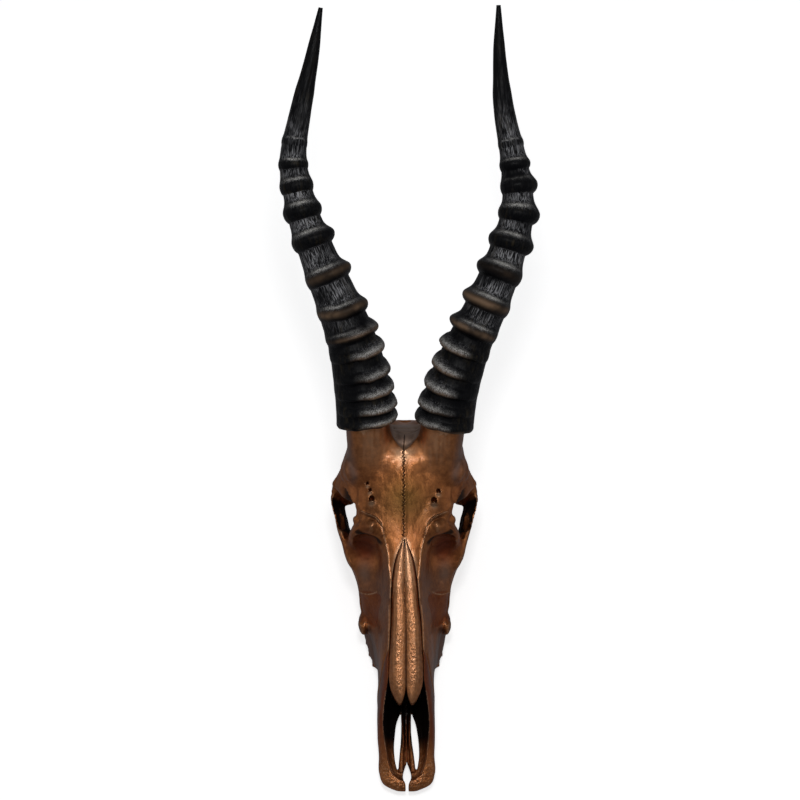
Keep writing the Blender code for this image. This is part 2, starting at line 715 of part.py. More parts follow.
def material(name, colour, metallic, roughness):
    """One Principled material."""
    made = bpy.data.materials.new(name)
    made.use_nodes = True
    shader = made.node_tree.nodes["Principled BSDF"]
    shader.inputs["Base Color"].default_value = (*colour, 1)
    shader.inputs["Metallic"].default_value = metallic
    shader.inputs["Roughness"].default_value = roughness
    return made


def bow(along_skull):
    """How far the muzzle stands to the right and the face to the left, at places along the skull."""
    right = 0.8 * eased((60 - along_skull) / 50) + 0.5 * eased((135 - along_skull) / 20)
    return right - 0.75 * eased((along_skull - 115) / 40) * eased((262 - along_skull) / 20)


def eased(value):
    """A value between 0 and 1, eased at both ends."""
    kept = min(max(value, 0.0), 1.0)
    return kept * kept * (3 - 2 * kept)


def place(made, stuff):
    """Bends a finished node a little, places it about the origin and gives it its material."""
    for point in made.data.vertices:
        point.co.x += bow(point.co.y / MM) * MM
    made.data.transform(Matrix.Translation((-ORIGIN[0] * MM, -ORIGIN[1] * MM, 0)))
    made.data.materials.clear()
    made.data.materials.append(stuff)
    for face in made.data.polygons:
        face.material_index = 0
        face.use_smooth = False


def main():
    """Builds the skull, its muzzle bones, its nasal bones and its horns."""
    for old in list(bpy.data.objects):
        bpy.data.objects.remove(old, do_unlink=True)
    parts = bpy.data.collections.new(NAME)
    tools = bpy.data.collections.new("cutters")
    for home in (parts, tools):
        bpy.context.scene.collection.children.link(home)

    skull = fused_bone(parts)
    take(skull, hollow_cutters(tools))
    thin_bones = both_sides("thin_bones", [bar("process", *PROCESS, parts), orbit_flange(parts)])
    skull = join("skull", [skull, thin_bones])
    apply(skull, "REMESH", mode="VOXEL", voxel_size=VOXEL * MM)
    apply(skull, "SMOOTH", factor=0.5, iterations=5)
    largest(skull)

    muzzle = copy(skull, "muzzle")
    take(muzzle, [muzzle_room("muzzle_room", 0, tools)], "INTERSECT")
    take(skull, [muzzle_room("muzzle_gap", GAP, tools)])
    thin(muzzle, MUZZLE_TRIANGLES)
    thin(skull, SKULL_TRIANGLES)

    take(skull, [block("floor", (-90, -20, -40), (90, 400, 0), tools)])
    take(skull, [nasal_loft("nasal_room", 0, tools, GAP)])
    take(muzzle, [nasal_loft("nasal_room_front", 0, tools, GAP)])
    take(skull, foramen_drills(tools))
    take(skull, [horn_room("horn_room_left", HORN_LEFT, SHEATH_LEFT, tools)])
    take(skull, [horn_room("horn_room_right", HORN_RIGHT, SHEATH_RIGHT, tools)])
    largest(skull)

    left = copy(muzzle, "premaxilla_left")
    take(left, [block("left_of_midline", (0 - GAP / 2, -20, -20), (60, 120, 90), tools)])
    right = muzzle
    right.name = "premaxilla_right"
    right.data.name = "premaxilla_right"
    take(right, [block("right_of_midline", (-60, -20, -20), (GAP / 2, 120, 90), tools)])
    for bone in (left, right):
        largest(bone)

    nasals = [nasal_loft("nasal_left", -1, parts), nasal_loft("nasal_right", 1, parts)]
    horns = [
        horn_sheath("horn_left", HORN_LEFT, SHEATH_LEFT, RIDGES_LEFT, -1, parts),
        horn_sheath("horn_right", HORN_RIGHT, SHEATH_RIGHT, RIDGES_RIGHT, 1, parts),
    ]
    for made in nasals + horns:
        largest(made)

    for made in (skull, left, right, *nasals):
        place(made, material(f"{made.name}_copper", (0.36, 0.17, 0.08), 0.9, 0.36))
    for made in horns:
        place(made, material(f"{made.name}_horn", (0.02, 0.02, 0.022), 0.0, 0.42))

    for cutter in tools.objects:
        cutter.hide_render = True
        cutter.display_type = "WIRE"


main()
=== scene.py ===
"""Antelope skull with its bone coated in copper paint and its horns left black.

Sizes are in millimetres, measured from the tip of the muzzle on the midline of the floor:
x to the viewer's right, y back towards the horns, z up. A finished mesh is moved so that
the middle of the whole object's box stands over the frame's origin.
"""

import logging
import math
from collections.abc import Iterator
from contextlib import contextmanager
from dataclasses import dataclass, field
from enum import Enum

import bmesh
import bpy
import numpy as np
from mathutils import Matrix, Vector


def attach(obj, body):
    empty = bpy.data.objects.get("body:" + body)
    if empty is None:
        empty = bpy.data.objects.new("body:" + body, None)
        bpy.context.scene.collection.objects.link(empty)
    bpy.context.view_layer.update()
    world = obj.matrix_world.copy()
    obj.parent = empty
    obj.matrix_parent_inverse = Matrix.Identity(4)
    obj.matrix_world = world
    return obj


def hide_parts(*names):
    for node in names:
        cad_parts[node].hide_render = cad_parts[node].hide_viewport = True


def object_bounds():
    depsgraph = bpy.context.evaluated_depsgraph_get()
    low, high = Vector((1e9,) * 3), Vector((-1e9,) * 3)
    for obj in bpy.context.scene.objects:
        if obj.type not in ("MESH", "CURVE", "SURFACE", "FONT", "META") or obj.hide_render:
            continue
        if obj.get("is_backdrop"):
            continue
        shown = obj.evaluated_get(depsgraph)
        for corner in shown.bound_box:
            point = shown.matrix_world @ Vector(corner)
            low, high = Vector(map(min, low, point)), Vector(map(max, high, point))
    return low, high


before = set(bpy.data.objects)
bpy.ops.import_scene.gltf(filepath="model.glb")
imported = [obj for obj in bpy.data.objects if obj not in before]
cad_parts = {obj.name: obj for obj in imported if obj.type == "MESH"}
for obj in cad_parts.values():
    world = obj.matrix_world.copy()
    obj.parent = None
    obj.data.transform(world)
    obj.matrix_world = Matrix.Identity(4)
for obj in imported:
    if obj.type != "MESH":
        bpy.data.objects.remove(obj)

log = logging.getLogger("antelope_skull")

MM = 0.001
ORIGIN = Vector((2.7, 265.15, 0.0))
BODY_NAME = "root"
SIDES = (("left", -1), ("right", 1))
FULL_TURN = 2 * math.pi
TINY = 1e-9
CELL_CODES = (73856093, 19349663, 83492791, 961748927)
STIR = 1274126177
WORD = 0xFFFFFFFF

Row = tuple[float, ...]
Path = tuple[Row, ...]


def smooth(values: np.ndarray, start: float = 0.0, width: float = 1.0) -> np.ndarray:
    """Eases values from 0 to 1.

    Args:
        values: Numbers of any size.
        start: Where the easing starts.
        width: Over how much it goes, below zero for a weight that falls as the values rise.

    Returns:
        The weights, clipped and eased.
    """
    kept = np.clip((values - start) / width, 0.0, 1.0)
    return kept * kept * (3.0 - 2.0 * kept)


def hump(values: np.ndarray, middle: float, width: float) -> np.ndarray:
    """A bell of height 1 about a middle."""
    return np.exp(-(((values - middle) / width) ** 2))


def spot(axes: np.ndarray | tuple[np.ndarray, ...], middle: Row, sizes: Row) -> np.ndarray:
    """A soft patch of height 1 about a place.

    Args:
        axes: Positions, one array per axis; axes that the place leaves out don't count.
        middle: The place.
        sizes: How far the patch reaches along each axis.

    Returns:
        A weight per position.
    """
    return np.exp(-sum(((axis - at) / size) ** 2 for axis, at, size in zip(axes, middle, sizes)))


def strongest(*weights: np.ndarray) -> np.ndarray:
    """The largest of several weights at each point."""
    return np.maximum.reduce(weights)


def round_turns(count: int) -> np.ndarray:
    """Angles of points that stand evenly round a ring."""
    return np.linspace(0, FULL_TURN, count, endpoint=False)


def nearest_squared(spots: np.ndarray, path: np.ndarray) -> np.ndarray:
    """Measures how near spots lie to a line of straight legs.

    Args:
        spots: Two numbers per spot.
        path: The line's points.

    Returns:
        The squared distance of each spot.
    """
    nearest = np.full(len(spots), 1e9)
    for start, end in zip(path[:-1], path[1:]):
        leg = end - start
        t = np.clip(((spots - start) @ leg) / max(leg @ leg, TINY), 0, 1)
        gap = spots - start - t[:, None] * leg
        nearest = np.minimum(nearest, np.einsum("ij,ij->i", gap, gap))
    return nearest


def curve(places: np.ndarray, values: np.ndarray, samples: np.ndarray) -> np.ndarray:
    """Reads a smooth curve through values that are given at places.

    Args:
        places: Rising positions of the known values.
        values: One value or one row of values per place.
        samples: Positions to read.

    Returns:
        One value or row per sample.
    """
    places, values = np.asarray(places, float), np.asarray(values, float)
    samples = np.clip(samples, places[0], places[-1])
    slopes = np.gradient(values, places, axis=0)
    at = np.clip(np.searchsorted(places, samples, side="right") - 1, 0, len(places) - 2)
    step = places[at + 1] - places[at]
    t = (samples - places[at]) / step
    shape = (-1,) + (1,) * (values.ndim - 1)
    t, step = t.reshape(shape), step.reshape(shape)
    start = values[at] * (2 * t**3 - 3 * t**2 + 1) + slopes[at] * step * (t**3 - 2 * t**2 + t)
    end = values[at + 1] * (3 * t**2 - 2 * t**3) + slopes[at + 1] * step * (t**3 - t**2)
    return start + end


def lengths_along(points: np.ndarray) -> np.ndarray:
    """Measures the way to each point of a line.

    Args:
        points: The line's points.

    Returns:
        The distance of each point from the first.
    """
    steps = np.linalg.norm(np.diff(np.asarray(points, float), axis=0), axis=1)
    return np.concatenate(([0.0], np.cumsum(steps)))


def noise(points: np.ndarray, seed: int) -> np.ndarray:
    """Smooth repeatable noise with cells of one unit.

    Args:
        points: Positions in cells, three numbers each.
        seed: Which of the noises to read.

    Returns:
        One number from -1 to 1 per position.
    """
    cell = np.floor(points).astype(np.int64)
    part = points - cell
    part = part * part * (3 - 2 * part)
    total = np.zeros(len(points))
    for corner in range(8):
        step = np.array((corner & 1, corner >> 1 & 1, corner >> 2 & 1))
        weight = np.prod(np.where(step, part, 1 - part), axis=1)
        x, y, z = (cell + step).T * np.array(CELL_CODES[:3])[:, None]
        code = (x ^ y ^ z ^ seed * CELL_CODES[3]) & WORD
        code = (code ^ code >> 13) * STIR & WORD
        code ^= code >> 16
        total += weight * ((code & 0xFFFF) / 32767.5 - 1)
    return total


class Bench:
    """Blender's own modelling tools, each used on one piece at a time.

    Attributes:
        bar_step: Millimetres between the rings of a bar.
        upright_share: A bar whose rise is a larger share of its length than this is upright.
    """

    bar_step = 2.5
    upright_share = 0.75

    @staticmethod
    def only(*pieces: bpy.types.Object) -> None:
        """Selects pieces alone.

        Args:
            pieces: What to select; the first one becomes the active one.
        """
        bpy.ops.object.select_all(action="DESELECT")
        for piece in pieces:
            piece.select_set(True)
        bpy.context.view_layer.objects.active = pieces[0]

    @staticmethod
    def named(name: str) -> bpy.types.Object:
        """Names the piece that was just added.

        Args:
            name: The name of the object and of its data.

        Returns:
            The piece.
        """
        piece = bpy.context.active_object
        piece.name = piece.data.name = name
        return piece

    @classmethod
    def placed(cls, name: str) -> bpy.types.Object:
        """Names the piece that was just added and applies its place to its mesh.

        Args:
            name: The name of the object and of its data.

        Returns:
            The piece.
        """
        piece = cls.named(name)
        bpy.ops.object.transform_apply()
        return piece

    @classmethod
    @contextmanager
    def editing(
        cls, piece: bpy.types.Object, chosen: np.ndarray | None = None, kind: str = "VERT"
    ) -> Iterator[None]:
        """Opens a piece in edit mode, and closes it again.

        Args:
            piece: The piece to edit.
            chosen: A flag per point or face that is to be selected; all are, without flags.
            kind: What the flags stand for, VERT or FACE.

        Yields:
            Nothing, while the piece is open.
        """
        cls.only(piece)
        bpy.ops.object.mode_set(mode="EDIT")
        bpy.ops.mesh.select_mode(type=kind)
        bpy.ops.mesh.select_all(action="SELECT" if chosen is None else "DESELECT")
        if chosen is not None:
            bpy.ops.object.mode_set(mode="OBJECT")
            parts = piece.data.polygons if kind == "FACE" else piece.data.vertices
            parts.foreach_set("select", chosen)
            bpy.ops.object.mode_set(mode="EDIT")
        yield
        bpy.ops.mesh.select_mode(type="VERT")
        bpy.ops.object.mode_set(mode="OBJECT")

    @staticmethod
    def coat(piece: bpy.types.Object, material: bpy.types.Material) -> None:
        """Gives a piece one material all over."""
        piece.data.materials.clear()
        piece.data.materials.append(material)

    @classmethod
    def apply(cls, piece: bpy.types.Object, kind: str, **values: object) -> None:
        """Adds a modifier and applies it.

        Args:
            piece: The piece to change.
            kind: Blender's word for the modifier.
            values: The modifier's settings.
        """
        cls.only(piece)
        modifier = piece.modifiers.new(kind.lower(), kind)
        for key, value in values.items():
            setattr(modifier, key, value)
        bpy.ops.object.modifier_apply(modifier=modifier.name)

    @classmethod
    def join(cls, name: str, pieces: list[bpy.types.Object]) -> bpy.types.Object:
        """Joins pieces into one object.

        Args:
            name: The new object's name.
            pieces: What to join.

        Returns:
            The joined object.
        """
        cls.only(*pieces)
        bpy.ops.object.join()
        return cls.named(name)

    @classmethod
    def twin(cls, piece: bpy.types.Object, name: str) -> bpy.types.Object:
        """Copies a piece together with its mesh.

        Args:
            piece: The piece to copy.
            name: The copy's name.

        Returns:
            The copy.
        """
        cls.only(piece)
        bpy.ops.object.duplicate()
        return cls.named(name)

    @classmethod
    def discard(cls, pieces: list[bpy.types.Object]) -> None:
        """Removes pieces that have done their work."""
        for piece in pieces:
            bpy.data.objects.remove(piece, do_unlink=True)

    @classmethod
    def ball(cls, name: str, centre: Row, halves: Row, lean: float = 0.0) -> bpy.types.Object:
        """A rounded mass from a sphere.

        Args:
            name: The piece's name.
            centre: Its middle.
            halves: Its half sizes.
            lean: Degrees that it leans about the long axis.

        Returns:
            The mass.
        """
        bpy.ops.object.select_all(action="DESELECT")
        bpy.ops.mesh.primitive_uv_sphere_add(
            segments=40,
            ring_count=24,
            radius=MM,
            location=Vector(centre) * MM,
            rotation=(0, math.radians(lean), 0),
            scale=halves,
        )
        return cls.placed(name)

    @classmethod
    def block(cls, name: str, low: Row, high: Row) -> bpy.types.Object:
        """A box between two corners.

        Args:
            name: The piece's name.
            low: Its lowest corner.
            high: Its highest corner.

        Returns:
            The box.
        """
        low, high = Vector(low) * MM, Vector(high) * MM
        bpy.ops.object.select_all(action="DESELECT")
        bpy.ops.mesh.primitive_cube_add(size=1, location=(low + high) / 2, scale=high - low)
        return cls.placed(name)

    @classmethod
    def drum(
        cls, name: str, middle: Vector, way: Vector, radius: float, depth: float
    ) -> bpy.types.Object:
        """A round cutter about a direction.

        Args:
            name: The piece's name.
            middle: Its middle, in millimetres.
            way: The direction of its axis.
            radius: Its radius.
            depth: Its whole length.

        Returns:
            The cutter.
        """
        bpy.ops.object.select_all(action="DESELECT")
        bpy.ops.mesh.primitive_cylinder_add(
            vertices=48,
            radius=radius * MM,
            depth=depth * MM,
            location=middle * MM,
            rotation=way.to_track_quat("Z", "Y").to_euler(),
        )
        return cls.placed(name)

    @classmethod
    def drawn(cls, name: str, rings: list[np.ndarray]) -> bpy.types.Object:
        """A solid that is pulled from one ring through the next, as by hand.

        Args:
            name: The piece's name.
            rings: Rings with the same number of points, in millimetres.

        Returns:
            The closed solid.
        """
        bpy.ops.object.select_all(action="DESELECT")
        bpy.ops.mesh.primitive_circle_add(vertices=len(rings[0]), radius=MM, fill_type="NGON")
        piece = cls.named(name)
        bpy.ops.object.mode_set(mode="EDIT")
        work = bmesh.from_edit_mesh(piece.data)
        spoke = work.verts.layers.int.new("spoke")
        for number, point in enumerate(work.verts):
            point[spoke] = number
        bmesh.update_edit_mesh(piece.data)
        for number, ring in enumerate(rings):
            if number:
                bpy.ops.mesh.extrude_region_move()
            work = bmesh.from_edit_mesh(piece.data)
            spoke = work.verts.layers.int["spoke"]
            for point in work.verts:
                if point.select:
                    point.co = Vector(ring[point[spoke]]) * MM
            bmesh.update_edit_mesh(piece.data)
        bpy.ops.mesh.select_all(action="SELECT")
        bpy.ops.mesh.normals_make_consistent(inside=False)
        bpy.ops.object.mode_set(mode="OBJECT")
        return piece

    @classmethod
    def bar(cls, name: str, line: Path, sizes: Path) -> bpy.types.Object:
        """A rounded bar along a line.

        Args:
            name: The piece's name.
            line: The points that it follows.
            sizes: Half width, half height and lean in degrees at each point.

        Returns:
            The bar.
        """
        knots = np.asarray(line, float)
        lengths = lengths_along(knots)
        samples = np.linspace(0, lengths[-1], max(6, int(lengths[-1] / cls.bar_step)))
        centres = curve(lengths, knots, samples)
        halves = curve(lengths, np.asarray(sizes, float), samples)
        turns = round_turns(20)
        ways = np.gradient(centres, axis=0)
        chord = knots[-1] - knots[0]
        upright = abs(chord[2]) > cls.upright_share * np.linalg.norm(chord)
        rings = []
        for centre, (wide, tall, lean), way in zip(centres, halves, ways):
            way = way / np.linalg.norm(way)
            flat = np.cross(way, (0, -1, 0) if upright else (0, 0, 1))
            flat = flat / np.linalg.norm(flat)
            up = np.cross(flat, way)
            turn = math.radians(lean)
            across = math.cos(turn) * flat - math.sin(turn) * up
            above = math.cos(turn) * up + math.sin(turn) * flat
            ring = centre + wide * np.cos(turns)[:, None] * across
            rings.append(ring + tall * np.sin(turns)[:, None] * above)
        return cls.drawn(name, rings)

    @classmethod
    def mirrored(cls, name: str, pieces: list[bpy.types.Object]) -> bpy.types.Object:
        """Joins the pieces of one side and adds the other side.

        Args:
            name: The new object's name.
            pieces: The pieces of the right side.

        Returns:
            Both sides as one object.
        """
        both = cls.join(name, pieces)
        cls.apply(both, "MIRROR", use_mirror_merge=False)
        return both

    @classmethod
    def melt(cls, piece: bpy.types.Object, voxel: float, rounds: int) -> None:
        """Melts overlapping solids into one skin and softens it.

        Args:
            piece: The piece to melt.
            voxel: Size of the new faces.
            rounds: How often the skin is softened.
        """
        cls.apply(piece, "REMESH", mode="VOXEL", voxel_size=voxel * MM)
        if rounds:
            cls.apply(piece, "SMOOTH", factor=0.5, iterations=rounds)

    @classmethod
    def cut(
        cls, piece: bpy.types.Object, cutters: list[bpy.types.Object], how: str = "DIFFERENCE"
    ) -> None:
        """Cuts a piece with others and throws them away.

        Args:
            piece: The piece to cut.
            cutters: What to cut it with.
            how: Blender's word for the kind of cut.
        """
        for cutter in cutters:
            cls.apply(piece, "BOOLEAN", object=cutter, operation=how, solver="MANIFOLD")
        cls.discard(cutters)

    @classmethod
    def thin(cls, piece: bpy.types.Object, triangles: int) -> None:
        """Brings a mesh down to a number of triangles, most of them where it bends.

        Args:
            piece: The piece to thin.
            triangles: How many it may keep.
        """
        cls.apply(piece, "TRIANGULATE")
        now = len(piece.data.polygons)
        if now > triangles:
            ratio = triangles / now
            cls.apply(piece, "DECIMATE", ratio=ratio, use_collapse_triangulate=True)

    @classmethod
    def settle(cls, piece: bpy.types.Object, angle: float = 60.0) -> None:
        """Moves a finished mesh into the frame's place and shades it smooth.

        The muzzle leans a little to the right and the face to the left, as on the real skull.

        Args:
            piece: The finished piece.
            angle: Edges sharper than this many degrees stay sharp.
        """
        relief = Relief(piece)
        along = relief.at[:, 1]
        relief.at[:, 0] += 0.8 * smooth(along, 60, -50) + 0.5 * smooth(along, 135, -20)
        relief.at[:, 0] -= 0.75 * smooth(along, 115, 40) * smooth(along, 262, -20)
        relief.write()
        with cls.editing(piece):
            bpy.ops.transform.translate(value=-ORIGIN * MM)
        bpy.ops.object.shade_smooth_by_angle(angle=math.radians(angle))


class Side(Enum):
    """From where a line is drawn on the bone: its two axes, then the axis it looks along."""

    TOP = (0, 1, 2)
    FLANK = (1, 2, 0)
    BACK = (0, 2, 1)


@dataclass(frozen=True)
class Stroke:
    """One line or patch that is worked into the bone, on both halves unless one is named.

    Attributes:
        side: From where it is drawn.
        path: Its points on the two axes of that side.
        width: Half its width.
        height: How far it rises, below zero for a groove.
        half: 0 for both halves, -1 or 1 for one of them.
        facing: Least agreement between the bone's face and the way of drawing.
    """

    side: Side
    path: Path
    width: float
    height: float
    half: int = 0
    facing: float = 0.25


class Relief:
    """Works on the points of a dense mesh, in millimetres."""

    def __init__(self, piece: bpy.types.Object) -> None:
        """Reads the points and the way they face."""
        self.piece = piece
        self.read()

    def read(self) -> None:
        """Reads the mesh again after it was changed."""
        count = len(self.piece.data.vertices)
        flat = np.empty(count * 3, np.float32)
        self.piece.data.vertices.foreach_get("co", flat)
        self.at = flat.reshape(-1, 3).astype(float) / MM
        self.piece.data.vertex_normals.foreach_get("vector", flat)
        self.out = flat.reshape(-1, 3).astype(float)

    def write(self) -> None:
        """Writes the points back into the mesh."""
        self.piece.data.vertices.foreach_set("co", (self.at * MM).astype(np.float32).ravel())
        self.piece.data.update()

    def commit(self) -> None:
        """Writes the points and reads how they face now."""
        self.write()
        self.read()

    def axes(self) -> tuple[np.ndarray, np.ndarray, np.ndarray]:
        """Distance of each point from the midline, its place along the skull and its height."""
        return np.abs(self.at[:, 0]), self.at[:, 1], self.at[:, 2]

    def push(self, amount: np.ndarray) -> None:
        """Moves each point outwards by its amount."""
        self.at += self.out * amount[:, None]

    def drawn_from(self, side: Side, half: np.ndarray) -> tuple[np.ndarray, np.ndarray]:
        """Looks at the points from one side.

        Args:
            side: From where to look.
            half: Distance of each point from the midline, above zero on the half that counts.

        Returns:
            Two numbers per point on the side's axes, and how much each point faces that side.
        """
        first, second, way = side.value
        plan = np.stack((self.at[:, first] if first else half, self.at[:, second]), axis=1)
        facing = self.out[:, way] * (1 if way else np.sign(self.at[:, 0]))
        return plan, facing

    def mask(self, stroke: Stroke) -> tuple[np.ndarray, np.ndarray]:
        """Finds the points near a stroke.

        Args:
            stroke: The line or patch.

        Returns:
            The numbers of the points near it, and how strongly each is in the stroke.
        """
        across = self.at[:, 0]
        half = across * stroke.half if stroke.half else np.abs(across)
        plan, facing = self.drawn_from(stroke.side, half)
        path = np.asarray(stroke.path, float)
        if len(path) > 2:
            lengths = lengths_along(path)
            path = curve(lengths, path, np.linspace(0, lengths[-1], 4 * len(path)))
        spare = 2.6 * stroke.width
        inside = np.all((plan > path.min(0) - spare) & (plan < path.max(0) + spare), axis=1)
        if stroke.half:
            inside &= half > -2
        inside &= facing > stroke.facing - 0.2
        found = np.flatnonzero(inside)
        strength = np.exp(-nearest_squared(plan[found], path) / stroke.width**2)
        return found, strength * smooth((facing[found] - stroke.facing + 0.2) / 0.4)

    def work(self, strokes: tuple[Stroke, ...]) -> None:
        """Raises or sinks strokes one after the other.

        Args:
            strokes: The lines and patches.
        """
        for stroke in strokes:
            found, strength = self.mask(stroke)
            self.at[found] += self.out[found] * (stroke.height * strength)[:, None]

    def patch(self, side: Side, rim: Path, soft: float) -> np.ndarray:
        """How deep each point lies inside an outline that is drawn on both halves.

        Args:
            side: From where the outline is drawn.
            rim: Its corners.
            soft: Width of the soft edge.

        Returns:
            0 outside and 1 inside, one number per point.
        """
        plan, facing = self.drawn_from(side, np.abs(self.at[:, 0]))
        corners = np.asarray(rim, float)
        count = len(corners) * 6
        closed = np.vstack((corners, corners[:1]))
        corners = curve(np.arange(len(closed)), closed, np.linspace(0, len(corners), count))
        inside = np.zeros(len(plan), bool)
        for start, end in zip(corners[:-1], corners[1:]):
            leg = end - start
            crosses = (start[1] > plan[:, 1]) != (end[1] > plan[:, 1])
            rise = leg[1] if abs(leg[1]) > TINY else TINY
            inside ^= crosses & (plan[:, 0] < start[0] + leg[0] * (plan[:, 1] - start[1]) / rise)
        depth = np.sqrt(nearest_squared(plan, corners)) * np.where(inside, 1, -1)
        return smooth(depth / soft + 0.5) * smooth((facing + 0.05) / 0.3)

    def hollow(self, rounds: int) -> np.ndarray:
        """How far each point lies below its surroundings.

        Args:
            rounds: How wide the surroundings are.

        Returns:
            Millimetres below the softened skin, above zero in a hollow.
        """
        count = len(self.piece.data.edges)
        ends = np.empty(count * 2, np.int32)
        self.piece.data.edges.foreach_get("vertices", ends)
        one, two = ends.reshape(-1, 2).T
        total = len(self.at)
        links = np.maximum(np.bincount(one, minlength=total) + np.bincount(two, minlength=total), 1)
        soft = self.at.copy()
        for _ in range(rounds):
            for axis in range(3):
                value = soft[:, axis]
                near = np.bincount(one, value[two], total) + np.bincount(two, value[one], total)
                soft[:, axis] = 0.5 * value + 0.5 * near / links
        return np.einsum("ij,ij->i", soft - self.at, self.out)

    def paint(self, name: str, values: np.ndarray) -> None:
        """Stores a number per point for the material.

        Args:
            name: The attribute's name.
            values: One number per point.
        """
        layer = self.piece.data.attributes.new(name, "FLOAT", "POINT")
        layer.data.foreach_set("value", np.clip(values, 0, 1).astype(np.float32))

    def shade_of(self, strokes: tuple[Stroke, ...]) -> np.ndarray:
        """Weighs the points by several strokes.

        Args:
            strokes: The lines and patches.

        Returns:
            The strongest of the strokes at each point.
        """
        total = np.zeros(len(self.at))
        for stroke in strokes:
            found, strength = self.mask(stroke)
            total[found] = np.maximum(total[found], strength)
        return total


class Tone:
    """A socket of a material under construction, with Python's arithmetic."""

    def __init__(self, shade: "Shade", socket: bpy.types.NodeSocket) -> None:
        """Keeps the socket and the material that it belongs to."""
        self.shade = shade
        self.socket = socket

    def _with(self, how: str, first: object, second: object) -> "Tone":
        """One Math node."""
        return self.shade.node("ShaderNodeMath", {"operation": how}, {0: first, 1: second})

    def __add__(self, other: object) -> "Tone":
        """Sum."""
        return self._with("ADD", self, other)

    __radd__ = __add__

    def __sub__(self, other: object) -> "Tone":
        """Difference."""
        return self._with("SUBTRACT", self, other)

    def __rsub__(self, other: object) -> "Tone":
        """Difference from a number."""
        return self._with("SUBTRACT", other, self)

    def __mul__(self, other: object) -> "Tone":
        """Product."""
        return self._with("MULTIPLY", self, other)

    __rmul__ = __mul__

    def above(self, other: object) -> "Tone":
        """The larger of two values."""
        return self._with("MAXIMUM", self, other)

    def eased(self, low: float, high: float) -> "Tone":
        """0 below one value and 1 above another, eased between."""
        sockets = {"Value": self, "From Min": low, "From Max": high}
        return self.shade.node("ShaderNodeMapRange", {"interpolation_type": "SMOOTHSTEP"}, sockets)


Value = Tone | float | tuple[float, ...]


class Shade:
    """A material under construction, with one Principled surface."""

    def __init__(self, name: str, constants: dict[str, float]) -> None:
        """Starts a material.

        Args:
            name: The material's name.
            constants: Values of the surface that are the same all over.
        """
        self.material = bpy.data.materials.new(name)
        self.material.use_nodes = True
        self.tree = self.material.node_tree
        self.surface = self.tree.nodes["Principled BSDF"]
        for key, value in constants.items():
            self.surface.inputs[key].default_value = value

    def node(
        self, kind: str, settings: dict | None = None, sockets: dict | None = None, out: int = 0
    ) -> Tone:
        """Adds a node.

        Args:
            kind: Blender's name for the type of node.
            settings: The node's own settings, which are set first.
            sockets: A value or a tone for each named or numbered input.
            out: Which output to use.

        Returns:
            The output.
        """
        made = self.tree.nodes.new(kind)
        for key, value in (settings or {}).items():
            setattr(made, key, value)
        for key, value in (sockets or {}).items():
            self.feed(made.inputs[key], value)
        return Tone(self, made.outputs[out])

    def feed(self, socket: bpy.types.NodeSocket, value: Value) -> None:
        """Gives a socket its value or its link.

        Args:
            socket: An input.
            value: A number, a colour, or a tone to link.
        """
        if isinstance(value, Tone):
            self.tree.links.new(value.socket, socket)
        else:
            socket.default_value = value

    def places(self, scale: Row = (1.0, 1.0, 1.0)) -> Tone:
        """Object coordinates, stretched by a scale."""
        spot = self.node("ShaderNodeTexCoord", out=3)
        return self.node("ShaderNodeMapping", sockets={"Vector": spot, "Scale": scale})

    def attribute(self, name: str, vector: bool = False) -> Tone:
        """A number or a vector that is stored on the piece."""
        return self.node("ShaderNodeAttribute", {"attribute_name": name}, out=1 if vector else 2)

    def grain(self, spot: Tone, scale: float, detail: float = 3.0, rough: float = 0.5) -> Tone:
        """Fractal noise from 0 to 1."""
        sockets = {"Vector": spot, "Scale": scale, "Detail": detail, "Roughness": rough}
        return self.node("ShaderNodeTexNoise", sockets=sockets)

    def blend(self, first: Value, second: Value, share: Value) -> Tone:
        """Mixes two colours.

        Args:
            first: The colour where the share is 0.
            second: The colour where the share is 1.
            share: How much of the second colour shows.

        Returns:
            The mixed colour.
        """
        sockets = {0: share}
        for key, colour in ((6, first), (7, second)):
            sockets[key] = colour if isinstance(colour, Tone) else (*colour, 1.0)
        return self.node("ShaderNodeMix", {"data_type": "RGBA"}, sockets, out=2)

    def finish(
        self, colour: Tone, roughness: Tone, heights: tuple[tuple[Tone, float], ...]
    ) -> bpy.types.Material:
        """Links the surface.

        Args:
            colour: The base colour.
            roughness: The roughness.
            heights: Bumps, each with its height in millimetres.

        Returns:
            The finished material.
        """
        self.feed(self.surface.inputs["Base Color"], colour)
        self.feed(self.surface.inputs["Roughness"], roughness)
        normal = None
        for height, size in heights:
            sockets = {"Strength": 1.0, "Distance": size * MM, "Height": height}
            if normal:
                sockets["Normal"] = normal
            normal = self.node("ShaderNodeBump", sockets=sockets)
        self.feed(self.surface.inputs["Normal"], normal)
        return self.material


